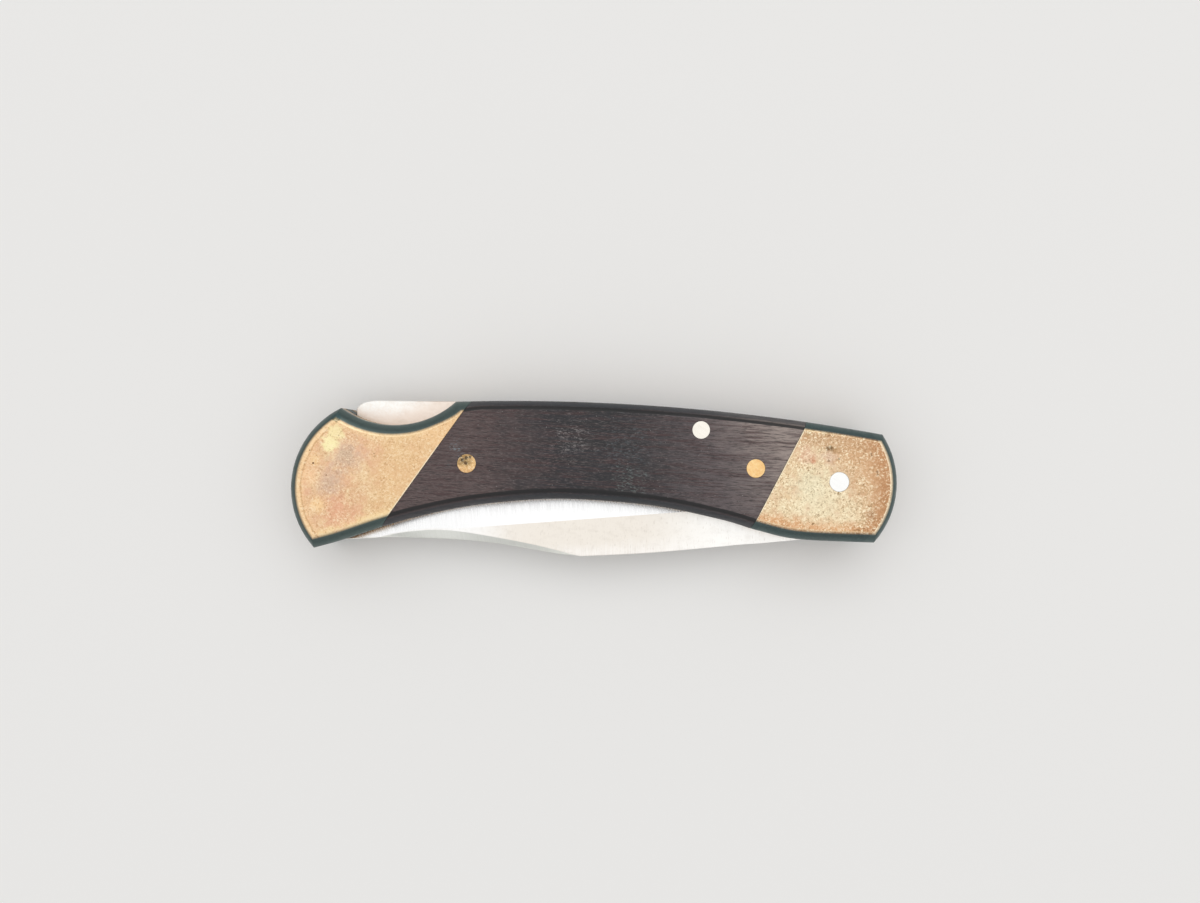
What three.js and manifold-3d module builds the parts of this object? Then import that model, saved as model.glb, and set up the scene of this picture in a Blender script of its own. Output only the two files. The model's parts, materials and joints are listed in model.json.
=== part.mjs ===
import * as THREE from "three";
import { mergeVertices } from "three/addons/utils/BufferGeometryUtils.js";
import Module from "manifold-3d";

// A lock-back folding knife, closed and lying on its side. Millimetres.
// +X points to the pivot end, +Y to the back of the handle, +Z through its thickness.
// Side view places are measured from the blade pivot, with the knife closed.

// Where the blade pivot lies, from the middle of the closed knife
const pivotX = 50.0;
const pivotY = -0.57;

// Thickness, through the handle
const bolsterThickness = 5.2;
const linerThickness = 1.4;
const bladeThickness = 3.0;
const sideClearance = 0.1;

// Outline of the handle: its corners and how far each side bulges beyond its chord
const frontTop = new THREE.Vector2(9.4, 9.73);
const frontBottom = new THREE.Vector2(7.6, -12.6);
const notchFront = new THREE.Vector2(-78.5, 16.5);
const notchPeak = new THREE.Vector2(-102.15, 15.2);
const toe = new THREE.Vector2(-107.7, -13.62);
const frontBulge = 3.83;
const backBulge = 2.3;
const thumbNotchDepth = 4.15;
const buttBulge = 7.31;
const bellyPoints = [
  new THREE.Vector2(-101.87, -12.03),
  new THREE.Vector2(-93.87, -9.37),
  new THREE.Vector2(-85.67, -7.07),
  new THREE.Vector2(-73.38, -4.72),
  new THREE.Vector2(-56.98, -3.57),
  new THREE.Vector2(-38.53, -4.9),
  new THREE.Vector2(-24.18, -7.75),
  new THREE.Vector2(-15.99, -10.15),
  new THREE.Vector2(-7.79, -11.9),
];
// The outer edge is rounded to this radius and meets the flat face at this angle
const edgeRadius = 2.76;
const edgeBreak = 22;
// How wide that edge is on each side of the outline, as a share of its plain width
const edgeShares = { front: 1, back: 1.08, notch: 1.39, butt: 1.08, belly: 1.34 };

// Seams between wood and brass: where each crosses the level of the pivot, and its angle to the upright
const frontSeamX = -12.83;
const frontSeamAngle = 27.8;
const rearSeamX = -87.01;
const rearSeamAngle = 35.7;

// Pins
const pivotPinDiameter = 4.0;
const barPinDiameter = 3.6;
const scalePinDiameter = 3.8;
const buttPinDiameter = 3.0;
const barPinX = -28.15;
const barPinY = 10.59;
const frontScalePinX = -17.01;
const frontScalePinY = 2.75;
const rearScalePinX = -75.97;
const rearScalePinY = 3.77;
const upperButtPinX = -105.6;
const upperButtPinY = 4.4;
const lowerButtPinX = -105.2;
const lowerButtPinY = -5.2;
const pinFit = 0.05;
const runningFit = 0.06;

// Lock bar
const barRearX = -100.2;
const barRearHeight = 17.07;
const barLevelX = -70.0;
const barDepth = 6.0;
const barNeck = 4.6;
const barBossRadius = 3.5;
const barEndLength = 5.4;
const barEndDrop = 1.9;
const toothFront = 0.8;
const toothRear = 2.6;
const toothHeight = 1.3;
const rideGap = 0.12;

// Tang of the blade, in the blade's own axes: +X to the tip, +Y to the spine
const openAngle = 176;
const rimRadius = 8.0;
const lockNotchDepth = 0.9;
const lockNotchClearance = 0.3;
const tangFlat = 6.7;
const kickX = -1.3;
const choilX = 14.6;
const choilRadius = 0.9;
const heelX = 15.5;

// Blade outline and grinds, in the blade's own axes
const spinePoints = [
  new THREE.Vector2(2.6, 11.6),
  new THREE.Vector2(5.55, 12.24),
  new THREE.Vector2(19.26, 13.51),
  new THREE.Vector2(38.24, 15.19),
  new THREE.Vector2(53.0, 15.93),
];
const clipPoints = [
  new THREE.Vector2(57.6, 15.4),
  new THREE.Vector2(63.54, 14.35),
  new THREE.Vector2(70.5, 13.2),
  new THREE.Vector2(78.3, 12.45),
  new THREE.Vector2(90.95, 11.92),
  new THREE.Vector2(99.0, 12.2),
];
const tip = new THREE.Vector2(105.8, 12.6);
const edgePoints = [
  new THREE.Vector2(30.0, -6.6),
  new THREE.Vector2(46.0, -6.5),
  new THREE.Vector2(60.0, -5.6),
  new THREE.Vector2(72.0, -3.4),
  new THREE.Vector2(84.0, 0.6),
  new THREE.Vector2(95.0, 6.1),
  new THREE.Vector2(102.0, 10.2),
];
const heelDepth = 6.6;
const grindLinePoints = [
  new THREE.Vector2(15.5, 5.4),
  new THREE.Vector2(34.44, 6.76),
  new THREE.Vector2(55.1, 8.3),
  new THREE.Vector2(74.08, 9.7),
  new THREE.Vector2(86.0, 10.6),
  new THREE.Vector2(97.0, 12.6),
  new THREE.Vector2(106.5, 15.4),
];
const swedgeLinePoints = [
  new THREE.Vector2(53.4, 15.8),
  new THREE.Vector2(61.43, 13.72),
  new THREE.Vector2(69.87, 12.03),
  new THREE.Vector2(78.3, 10.7),
  new THREE.Vector2(88.0, 9.9),
  new THREE.Vector2(106.5, 9.0),
];
const plungeStart = 17.4;
const plungeEnd = 20.6;
const edgeThickness = 0.3;
const swedgeSpineThickness = 0.9;
const hollowCurve = 1.7;

// Nail nick, a crescent in the lower face of the blade near the spine
const nickX = 38.0;
const nickY = 11.6;
const nickWidth = 2.0;
const nickDepth = 0.7;
const nickCutterRadius = 40.0;

// Back spring: a leaf from its root in the butt to its end under the lock bar
const springThickness = 1.3;
const springRootX = -98.6;
const springRootY = 3.6;
const springExitX = -92.0;
const springMidX = -78.0;
const springMidRise = 2.3;
const springEndX = -62.5;
const springSeat = 0.15;

// Butt spacer
const spacerFrontX = -93.6;
const barEndClearance = 0.6;
const barPressClearance = 4.4;
const bladeClearance = 0.7;

// Mesh fineness
const roundSteps = 5;
const circleSteps = 28;
const sideSteps = { front: 10, back: 16, notch: 12, butt: 14, belly: 30 };

// Levels through the thickness, worked out from the sizes above
const slotWidth = bladeThickness + 2 * sideClearance;
const slotZ = bolsterThickness + linerThickness;
const upperLinerZ = slotZ + slotWidth;
const upperBolsterZ = upperLinerZ + linerThickness;
const handleThickness = upperBolsterZ + bolsterThickness;
const bladeZ = slotZ + sideClearance;
const bladeMidZ = bladeZ + bladeThickness / 2;
const margin = bolsterThickness;

const wasm = await Module();
wasm.setup();

// A closed geometry as a solid for joining and cutting.
function toSolid(geometry) {
  const bare = new THREE.BufferGeometry().setAttribute("position", geometry.getAttribute("position"));
  if (geometry.index) bare.setIndex(geometry.index);
  const merged = mergeVertices(bare, 1e-4);
  return new wasm.Manifold(
    new wasm.Mesh({
      numProp: 3,
      vertProperties: new Float32Array(merged.getAttribute("position").array),
      triVerts: new Uint32Array(merged.index.array),
    }),
  );
}

// A solid back as a geometry.
function toGeometry(solid) {
  const mesh = solid.getMesh();
  const geometry = new THREE.BufferGeometry();
  geometry.setAttribute("position", new THREE.BufferAttribute(mesh.vertProperties, 3));
  geometry.setIndex(new THREE.BufferAttribute(mesh.triVerts, 1));
  const flat = geometry.toNonIndexed();
  flat.computeVertexNormals();
  return flat;
}

// A point on the arc from a to b that bulges to the right of the way by rise.
function arcPoint(a, b, rise, t) {
  const chord = b.clone().sub(a);
  const half = chord.length() / 2;
  const along = chord.normalize();
  const right = new THREE.Vector2(along.y, -along.x);
  const radius = (half * half + rise * rise) / (2 * rise);
  const turn = (2 * t - 1) * Math.asin(half / radius);
  return a
    .clone()
    .add(b)
    .multiplyScalar(0.5)
    .addScaledVector(right, rise - radius + radius * Math.cos(turn))
    .addScaledVector(along, radius * Math.sin(turn));
}

// Evenly many points along a side, from a function of 0 to 1.
function samples(curve, steps) {
  return Array.from({ length: steps + 1 }, (_, i) => curve(i / steps));
}

// The height of a smooth curve through points, as a function of x.
function heightAlong(points) {
  const line = new THREE.SplineCurve(points).getPoints(240);
  return (x) => {
    const i = line.findIndex((p) => p.x >= x);
    if (i < 0) return line[line.length - 1].y;
    if (i === 0) return line[0].y;
    const share = (x - line[i - 1].x) / (line[i].x - line[i - 1].x);
    return line[i - 1].y + share * (line[i].y - line[i - 1].y);
  };
}

// The outline's five sides, anticlockwise, each a function of 0 to 1.
const belly = new THREE.SplineCurve([toe, ...bellyPoints, frontBottom]);
const outlineSides = [
  { name: "front", curve: (t) => arcPoint(frontBottom, frontTop, frontBulge, t) },
  { name: "back", curve: (t) => arcPoint(frontTop, notchFront, backBulge, t) },
  { name: "notch", curve: (t) => arcPoint(notchFront, notchPeak, -thumbNotchDepth, t) },
  { name: "butt", curve: (t) => arcPoint(notchPeak, toe, buttBulge, t) },
  { name: "belly", curve: (t) => belly.getPoint(t) },
];

// A polyline moved to its left by a distance.
function moveLeft(points, distance) {
  return points.map((p, i) => {
    const before = points[Math.max(i - 1, 0)];
    const after = points[Math.min(i + 1, points.length - 1)];
    const way = after.clone().sub(before).normalize();
    return new THREE.Vector2(p.x - way.y * distance, p.y + way.x * distance);
  });
}

// Cuts the end of one polyline and the start of the next where they cross.
function trimCorner(first, second) {
  for (let i = first.length - 2; i >= 0; i -= 1) {
    for (let j = 0; j < second.length - 1; j += 1) {
      const a = first[i];
      const c = second[j];
      const ab = first[i + 1].clone().sub(a);
      const cd = second[j + 1].clone().sub(c);
      const ac = c.clone().sub(a);
      const turn = ab.cross(cd);
      const onFirst = ac.cross(cd) / turn;
      const onSecond = ac.cross(ab) / turn;
      if (onFirst >= 0 && onFirst <= 1 && onSecond >= 0 && onSecond <= 1) {
        const corner = a.clone().addScaledVector(ab, onFirst);
        return [[...first.slice(0, i + 1), corner], [corner, ...second.slice(j + 1)]];
      }
    }
  }
  return [first, second];
}

// A polyline as points at equal steps, without its last point.
function resample(points, steps) {
  const reach = [0];
  for (let i = 1; i < points.length; i += 1) {
    reach.push(reach[i - 1] + points[i].distanceTo(points[i - 1]));
  }
  const whole = reach[reach.length - 1];
  return Array.from({ length: steps }, (_, k) => {
    const at = (whole * k) / steps;
    const i = Math.max(reach.findIndex((r) => r > at), 1);
    const share = (at - reach[i - 1]) / (reach[i] - reach[i - 1]);
    return points[i - 1].clone().lerp(points[i], share);
  });
}

// The handle's outline, moved inwards by inset times each side's share, with sharp corners kept sharp.
function outlineRing(inset) {
  const fine = 120;
  const sides = outlineSides.map(({ name, curve }) => {
    return moveLeft(samples(curve, fine), inset * edgeShares[name]);
  });
  if (inset > 0) {
    sides.forEach((side, i) => {
      const next = (i + 1) % sides.length;
      [sides[i], sides[next]] = trimCorner(sides[i], sides[next]);
    });
  }
  return sides.flatMap((side, i) => resample(side, sideSteps[outlineSides[i].name]));
}

// A closed body through rings of the outline, from the lowest level to the highest.
function stackOfRings(levels) {
  const rings = levels.map((level) => outlineRing(level.inset));
  const count = rings[0].length;
  const positions = rings.flatMap((ring, i) => ring.flatMap((p) => [p.x, p.y, levels[i].z]));
  const index = [];
  for (let i = 0; i < rings.length - 1; i += 1) {
    for (let k = 0; k < count; k += 1) {
      const a = i * count + k;
      const b = i * count + ((k + 1) % count);
      index.push(a, b, b + count, a, b + count, a + count);
    }
  }
  const last = (rings.length - 1) * count;
  THREE.ShapeUtils.triangulateShape(rings[0], []).forEach(([a, b, c]) => index.push(a, c, b));
  THREE.ShapeUtils.triangulateShape(rings[rings.length - 1], []).forEach(([a, b, c]) => {
    index.push(last + a, last + b, last + c);
  });
  const geometry = new THREE.BufferGeometry();
  geometry.setAttribute("position", new THREE.Float32BufferAttribute(positions, 3));
  geometry.setIndex(index);
  return toSolid(geometry);
}

// A plate of a side view shape between two levels.
function plate(points, z, thickness) {
  const shape = new THREE.Shape(points);
  const geometry = new THREE.ExtrudeGeometry(shape, { depth: thickness, bevelEnabled: false });
  return toSolid(geometry.translate(0, 0, z));
}

// An upright round bar, for a pin or a hole.
function roundBar(x, y, radius, z, height) {
  const geometry = new THREE.CylinderGeometry(radius, radius, height, circleSteps);
  return toSolid(geometry.rotateX(Math.PI / 2).translate(x, y, z + height / 2));
}

// A point turned about the pivot by an angle in degrees.
function turned(x, y, degrees) {
  return new THREE.Vector2(x, y).rotateAround(new THREE.Vector2(), THREE.MathUtils.degToRad(degrees));
}

// Points on a circle about a centre, from one angle to another, in degrees.
function arcAbout(x, y, radius, from, to, steps) {
  return samples((t) => {
    const angle = THREE.MathUtils.degToRad(from + (to - from) * t);
    return new THREE.Vector2(x + radius * Math.cos(angle), y + radius * Math.sin(angle));
  }, steps);
}

// Height of the handle's back above the pivot at x.
const backCurve = samples((t) => arcPoint(frontTop, notchFront, backBulge, t), 80).reverse();
const backHeight = heightAlong(backCurve);

// Height of the lock bar's top: the handle's back, then a level run to its rear end.
function barTop(x) {
  if (x > barLevelX) return backHeight(x);
  const share = (barLevelX - x) / (barLevelX - barRearX);
  return THREE.MathUtils.lerp(backHeight(barLevelX), barRearHeight, share);
}

// Pins, each with the levels it runs between
const fullHeight = { z: 0, height: handleThickness };
const upperSide = { z: upperLinerZ, height: handleThickness - upperLinerZ };
const lowerSide = { z: 0, height: slotZ };
const pins = [
  { name: "blade_pivot_pin", x: 0, y: 0, diameter: pivotPinDiameter, span: fullHeight, steel: true },
  { name: "lock_bar_pin", x: barPinX, y: barPinY, diameter: barPinDiameter, span: fullHeight, steel: true },
  { name: "butt_pin_upper", x: upperButtPinX, y: upperButtPinY, diameter: buttPinDiameter, span: fullHeight },
  { name: "butt_pin_lower", x: lowerButtPinX, y: lowerButtPinY, diameter: buttPinDiameter, span: fullHeight },
];
for (const [side, span] of [["upper", upperSide], ["lower", lowerSide]]) {
  const front = { x: frontScalePinX, y: frontScalePinY, diameter: scalePinDiameter, span };
  const rear = { x: rearScalePinX, y: rearScalePinY, diameter: scalePinDiameter, span };
  pins.push({ name: `${side}_front_scale_pin`, ...front });
  pins.push({ name: `${side}_rear_scale_pin`, ...rear });
}

// The solid with a hole for each pin.
function drilled(solid) {
  return pins.reduce((part, pin) => {
    const radius = pin.diameter / 2 + pinFit;
    return part.subtract(roundBar(pin.x, pin.y, radius, -margin, handleThickness + 2 * margin));
  }, solid);
}

// A large block with one face on a seam, reaching forwards (1) or backwards (-1).
function seamBlock(x, angle, way) {
  const size = 2 * Math.abs(notchPeak.x);
  const geometry = new THREE.BoxGeometry(size, size, size).translate((way * size) / 2, 0, 0);
  return toSolid(geometry.rotateZ(-THREE.MathUtils.degToRad(angle)).translate(x, 0, 0));
}

// Scale and bolsters of one side: one softened slab, cut at the seams.
function sideSlab(upper) {
  const levels = [{ inset: 0, z: upperBolsterZ }];
  const rise = edgeRadius * Math.cos(THREE.MathUtils.degToRad(edgeBreak));
  for (let k = 0; k <= roundSteps; k += 1) {
    const angle = THREE.MathUtils.degToRad(((90 - edgeBreak) * k) / roundSteps);
    const inset = edgeRadius * (1 - Math.cos(angle));
    levels.push({ inset, z: handleThickness - rise + edgeRadius * Math.sin(angle) });
  }
  if (upper) return drilled(stackOfRings(levels));
  const flipped = levels.map((level) => ({ inset: level.inset, z: handleThickness - level.z }));
  return drilled(stackOfRings(flipped.reverse()));
}

const frontBlock = seamBlock(frontSeamX, frontSeamAngle, 1);
const rearBlock = seamBlock(rearSeamX, rearSeamAngle, -1);

// A liner with the whole outline of the handle.
function liner(z) {
  return drilled(stackOfRings([{ inset: 0, z }, { inset: 0, z: z + linerThickness }]));
}

// Side view of the lock bar, from its nose along the top to the rear end and back below.
function barShape() {
  const hookRadius = rimRadius + rideGap;
  const hook = (x) => new THREE.Vector2(x, Math.sqrt(hookRadius * hookRadius - x * x));
  const turnX = barRearX + barEndLength;
  const top = samples((t) => {
    const x = THREE.MathUtils.lerp(toothFront, turnX, t);
    return new THREE.Vector2(x, barTop(x));
  }, 20);
  const end = arcAbout(0, 0, 1, 90, 180, 7).slice(1);
  end.forEach((p) => p.set(turnX + p.x * barEndLength, barTop(turnX) + (p.y - 1) * barEndDrop));
  const heel = new THREE.Vector2(barRearX, barTop(barRearX) - barDepth + toothHeight);
  const below = samples((t) => {
    const x = THREE.MathUtils.lerp(barRearX + toothHeight, barPinX, t);
    return new THREE.Vector2(x, barTop(x) - barDepth);
  }, 12);
  const neck = samples((t) => {
    const x = THREE.MathUtils.lerp(barPinX, -2 * toothRear - toothHeight, t);
    return new THREE.Vector2(x, barTop(x) - barNeck);
  }, 4);
  const relief = hook(-toothRear).add(new THREE.Vector2(0, toothHeight));
  const tooth = samples((t) => hook(THREE.MathUtils.lerp(-toothRear, toothFront, t)), 5);
  return [...top, ...end, heel, ...below, ...neck, relief, ...tooth];
}

function lockBar() {
  const hole = roundBar(barPinX, barPinY, barPinDiameter / 2 + runningFit, 0, handleThickness);
  return plate(barShape(), bladeZ, bladeThickness)
    .add(roundBar(barPinX, barPinY, barBossRadius, bladeZ, bladeThickness))
    .subtract(hole);
}

// Heights of the blade's lines along its length
const bladeEdge = heightAlong([new THREE.Vector2(heelX, -heelDepth), ...edgePoints, tip]);
const spineEnd = spinePoints[spinePoints.length - 1];
const spineRise = heightAlong(spinePoints);
const clipFall = heightAlong([spineEnd, ...clipPoints, tip]);
const grindLine = heightAlong(grindLinePoints);
const swedgeLine = heightAlong(swedgeLinePoints);

function bladeSpine(x) {
  return x < spineEnd.x ? spineRise(x) : clipFall(x);
}

// Half the blade's thickness where only the hollow grind and the false edge thin it.
function bladeHalf(x, y) {
  const half = bladeThickness / 2;
  const depth = THREE.MathUtils.smoothstep(x, plungeStart, plungeEnd);
  const across = THREE.MathUtils.clamp((grindLine(x) - y) / (grindLine(x) - bladeEdge(x)), 0, 1);
  const hollow = half - depth * (half - edgeThickness / 2) * (1 - (1 - across) ** hollowCurve);
  if (x < swedgeLinePoints[0].x) return hollow;
  const rise = THREE.MathUtils.clamp((y - swedgeLine(x)) / (bladeSpine(x) - swedgeLine(x)), 0, 1);
  return Math.min(hollow, half - (half - swedgeSpineThickness / 2) * rise);
}

// The ground part of the blade: a box whose cells are bent to the blade's lines.
function groundBlade() {
  const along = 44;
  const plungeCells = 5;
  const across = 9;
  const grindRow = 5;
  const swedgeRow = 7;
  const slimmest = edgeThickness / 2;
  const geometry = new THREE.BoxGeometry(1, 1, 1, along, across, 1);
  const position = geometry.getAttribute("position");
  for (let i = 0; i < position.count; i += 1) {
    const cell = Math.round((position.getX(i) + 0.5) * along);
    const row = Math.round((position.getY(i) + 0.5) * across);
    const start = plungeStart - choilRadius / 2;
    const near = THREE.MathUtils.lerp(start, plungeEnd, cell / plungeCells);
    const share = (cell - plungeCells) / (along - plungeCells);
    const x = cell < plungeCells ? near : THREE.MathUtils.lerp(plungeEnd, tip.x - slimmest, share);
    const low = bladeEdge(x);
    const high = Math.max(bladeSpine(x), low + slimmest);
    const room = high - low;
    const ground = Math.min(grindLine(x) - low, room * 0.8);
    const swedge = Math.min(Math.max(swedgeLine(x) - low, ground + room * 0.05), room * 0.95);
    let y = low + (ground * row) / grindRow;
    if (row > grindRow) y = low + THREE.MathUtils.mapLinear(row, grindRow, swedgeRow, ground, swedge);
    if (row > swedgeRow) y = low + THREE.MathUtils.mapLinear(row, swedgeRow, across, swedge, room);
    position.setXYZ(i, x, y, Math.sign(position.getZ(i)) * bladeHalf(x, y));
  }
  return toSolid(geometry);
}

// Side view of the tang, with the lock notch, the rim that the nose rides on, and the kick.
function tangShape() {
  const lean = 180 - openAngle;
  const front = toothFront + lockNotchClearance;
  const rear = -toothRear - lockNotchClearance;
  const floor = rimRadius - lockNotchDepth;
  const shoulderTop = turned(front, backHeight(front) - sideClearance, lean);
  const floorFront = turned(front, Math.sqrt(floor * floor - front * front), lean);
  const floorRear = turned(rear, Math.sqrt(floor * floor - rear * rear), lean);
  const wallTop = turned(rear, Math.sqrt(rimRadius * rimRadius - rear * rear), lean);
  const rimStart = THREE.MathUtils.radToDeg(wallTop.angle());
  const kickAngle = 360 - THREE.MathUtils.radToDeg(Math.acos(kickX / rimRadius));
  const rim = arcAbout(0, 0, rimRadius, rimStart, kickAngle, 36);
  const end = plungeStart - choilRadius / 4;
  const choilY = -(tangFlat + heelDepth) / 2;
  const choil = arcAbout(choilX, choilY, choilRadius, 180, 0, 8);
  const spine = [end, ...samples((t) => THREE.MathUtils.lerp(end, spinePoints[0].x, t), 6).slice(1)];
  return [
    ...spine.map((x) => new THREE.Vector2(x, bladeSpine(x))),
    shoulderTop,
    floorFront,
    floorRear,
    ...rim,
    new THREE.Vector2(kickX, -tangFlat),
    ...choil,
    new THREE.Vector2(end, bladeEdge(end)),
  ];
}

// The crescent cutter of the nail nick, a disc with a slanting rim set into the lower face.
function nickCutter() {
  const slant = nickDepth;
  const geometry = new THREE.CylinderGeometry(nickCutterRadius, nickCutterRadius - slant, nickWidth, 150);
  const z = -bladeThickness / 2 + nickDepth - nickCutterRadius;
  return toSolid(geometry.translate(nickX, nickY, z));
}

// The blade in its own axes, about its middle level.
function blade() {
  const hole = roundBar(0, 0, pivotPinDiameter / 2 + runningFit, -handleThickness, 2 * handleThickness);
  return plate(tangShape(), -bladeThickness / 2, bladeThickness)
    .add(groundBlade())
    .subtract(hole)
    .subtract(nickCutter());
}

// Centre line of the back spring.
function springLine() {
  const endY = barTop(springEndX) - barDepth - springSeat - springThickness / 2;
  const root = new THREE.Vector2(springRootX, springRootY);
  const leaf = new THREE.CubicBezierCurve(
    new THREE.Vector2(springExitX, springRootY),
    new THREE.Vector2(THREE.MathUtils.lerp(springExitX, springEndX, 1 / 3), springRootY),
    new THREE.Vector2(springMidX, springRootY + springMidRise),
    new THREE.Vector2(springEndX, endY),
  );
  return [root, ...leaf.getPoints(16)];
}

function backSpring() {
  const line = springLine();
  const left = moveLeft(line, springThickness / 2);
  const right = moveLeft(line, -springThickness / 2);
  return plate([...right, ...left.reverse()], bladeZ, bladeThickness);
}

// The butt spacer: the outline behind the lock bar, over the blade's edge and round its tip.
function buttSpacer() {
  const low = toe.y - margin;
  const shelf = barTop(barRearX) - barDepth - barPressClearance;
  const wall = barRearX - barEndClearance;
  const slotHalf = springThickness / 2 + sideClearance;
  const under = samples((t) => {
    const x = THREE.MathUtils.lerp(-spacerFrontX, tip.x, t);
    return new THREE.Vector2(x, bladeEdge(x));
  }, 10);
  const besideEdge = moveLeft(under, -bladeClearance).map((p) => new THREE.Vector2(-p.x, -p.y));
  const tipReach = tip.length() + bladeClearance;
  const aroundTip = samples((t) => {
    const y = THREE.MathUtils.lerp(-tip.y, low, t);
    return new THREE.Vector2(-Math.sqrt(tipReach * tipReach - y * y), y);
  }, 4);
  const region = [
    new THREE.Vector2(wall, notchPeak.y + margin),
    new THREE.Vector2(wall - 2 * margin * buttBulge, notchPeak.y + margin),
    new THREE.Vector2(wall - 2 * margin * buttBulge, low),
    ...aroundTip.reverse(),
    ...besideEdge.reverse(),
    new THREE.Vector2(spacerFrontX, springRootY - slotHalf),
    new THREE.Vector2(springRootX - sideClearance, springRootY - slotHalf),
    new THREE.Vector2(springRootX - sideClearance, springRootY + slotHalf),
    new THREE.Vector2(spacerFrontX, springRootY + slotHalf),
    new THREE.Vector2(spacerFrontX, shelf),
    new THREE.Vector2(wall, shelf),
  ];
  const whole = stackOfRings([{ inset: 0, z: slotZ }, { inset: 0, z: upperLinerZ }]);
  return drilled(whole.intersect(plate(region, slotZ - margin, slotWidth + 2 * margin)));
}

// Materials
const brass = new THREE.MeshStandardMaterial({ color: 0xc49a66, roughness: 0.45, metalness: 0.9 });
const linerBrass = new THREE.MeshStandardMaterial({ color: 0xa8824a, roughness: 0.5, metalness: 0.9 });
const wood = new THREE.MeshStandardMaterial({ color: 0x4a3c3e, roughness: 0.55, metalness: 0.0 });
const bladeSteel = new THREE.MeshStandardMaterial({ color: 0xc9c6c0, roughness: 0.3, metalness: 1.0 });
const barSteel = new THREE.MeshStandardMaterial({ color: 0xc2c0bb, roughness: 0.4, metalness: 1.0 });
const springSteel = new THREE.MeshStandardMaterial({ color: 0x8d8f92, roughness: 0.4, metalness: 1.0 });

const knife = new THREE.Group();
knife.position.set(pivotX, pivotY, 0);

function addPiece(name, solid, material, group = knife) {
  const mesh = new THREE.Mesh(toGeometry(solid), material);
  mesh.name = name;
  group.add(mesh);
}

for (const side of ["upper", "lower"]) {
  const slab = sideSlab(side === "upper");
  addPiece(`${side}_scale`, slab.subtract(frontBlock).subtract(rearBlock), wood);
  addPiece(`${side}_front_bolster`, slab.intersect(frontBlock), brass);
  addPiece(`${side}_rear_bolster`, slab.intersect(rearBlock), brass);
}
addPiece("lower_liner", liner(bolsterThickness), linerBrass);
addPiece("upper_liner", liner(upperLinerZ), linerBrass);
for (const pin of pins) {
  const solid = roundBar(pin.x, pin.y, pin.diameter / 2, pin.span.z, pin.span.height);
  addPiece(pin.name, solid, pin.steel ? barSteel : brass);
}
addPiece("lock_bar", lockBar(), barSteel);
addPiece("back_spring", backSpring(), springSteel);
addPiece("butt_spacer", buttSpacer(), springSteel);

// The blade is drawn open, pointing forwards, and turned back into the handle.
const foldedBlade = new THREE.Group();
foldedBlade.position.z = bladeMidZ;
foldedBlade.rotation.z = Math.PI;
knife.add(foldedBlade);
addPiece("blade", blade(), bladeSteel, foldedBlade);

export default knife;
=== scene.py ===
"""Looks of a lock-back folding knife: brass bolsters, dark wood scales and a clip-point blade."""

import json
import logging
import math
from bisect import bisect_left
from collections.abc import Callable, Sequence
from dataclasses import dataclass, field
from enum import Enum

import bmesh
import bpy
from mathutils import Matrix, Vector
from mathutils.geometry import intersect_line_line_2d


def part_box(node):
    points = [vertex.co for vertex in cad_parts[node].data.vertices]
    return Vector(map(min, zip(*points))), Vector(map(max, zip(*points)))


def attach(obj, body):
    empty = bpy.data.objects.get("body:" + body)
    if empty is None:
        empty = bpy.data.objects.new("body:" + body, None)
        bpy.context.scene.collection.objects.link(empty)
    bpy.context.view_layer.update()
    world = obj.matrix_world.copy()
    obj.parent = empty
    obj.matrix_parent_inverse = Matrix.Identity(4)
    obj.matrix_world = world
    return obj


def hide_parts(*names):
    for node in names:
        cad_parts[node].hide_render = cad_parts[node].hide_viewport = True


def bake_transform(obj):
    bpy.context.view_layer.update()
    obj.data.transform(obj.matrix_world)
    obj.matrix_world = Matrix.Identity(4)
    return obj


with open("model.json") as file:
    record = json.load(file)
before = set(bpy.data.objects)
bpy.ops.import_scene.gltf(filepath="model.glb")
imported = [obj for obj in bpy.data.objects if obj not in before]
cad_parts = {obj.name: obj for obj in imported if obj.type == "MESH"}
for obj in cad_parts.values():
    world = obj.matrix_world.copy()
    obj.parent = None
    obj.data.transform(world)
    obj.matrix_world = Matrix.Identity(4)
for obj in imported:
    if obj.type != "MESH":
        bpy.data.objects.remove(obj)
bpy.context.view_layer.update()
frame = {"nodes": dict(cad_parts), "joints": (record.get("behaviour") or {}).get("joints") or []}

LOG = logging.getLogger("knife")
MM = 0.001
JOINTS = {joint["name"]: joint for joint in frame["joints"]}
PIVOT = Vector(JOINTS["blade_pivot"]["pos_m"]) / MM
BAR_PIVOT = Vector(JOINTS["lock_bar_rock"]["pos_m"]) / MM - PIVOT
OPEN_ANGLE = JOINTS["blade_pivot"]["range_deg"][1]
NEAR = 1e-6  # metres within which two levels count as one
SEAM_NEAR = 1e-7  # metres within which a point counts as on a seam
CUT_NEAR = 1e-8  # metres within which a cutting plane takes a point as on it
CIRCLE_STEPS = 64  # sides of a round pin and of its hole
SMOOTH = {"interpolation_type": "SMOOTHSTEP"}  # how every pattern sets in
USUAL = (0.3, 0.7)  # the range in which most values of a noise lie

Point = tuple[float, float]
Triple = tuple[float, float, float]


class Side(Enum):
    """The two sides of the handle."""

    UPPER = "upper"
    LOWER = "lower"


class End(Enum):
    """The two ends of the handle."""

    FRONT = "front"
    REAR = "rear"


class Ground(Enum):
    """The blade's faces, by how they are ground; the numbers are its material slots."""

    FLAT = 0
    HOLLOW = 1
    SWEDGE = 2


def node_levels(node: str) -> tuple[float, float]:
    """Lowest and highest level of a CAD node, in millimetres.

    Args:
        node: the node's name.

    Returns:
        The two levels.
    """
    low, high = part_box(node)
    return low.z / MM, high.z / MM


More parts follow.
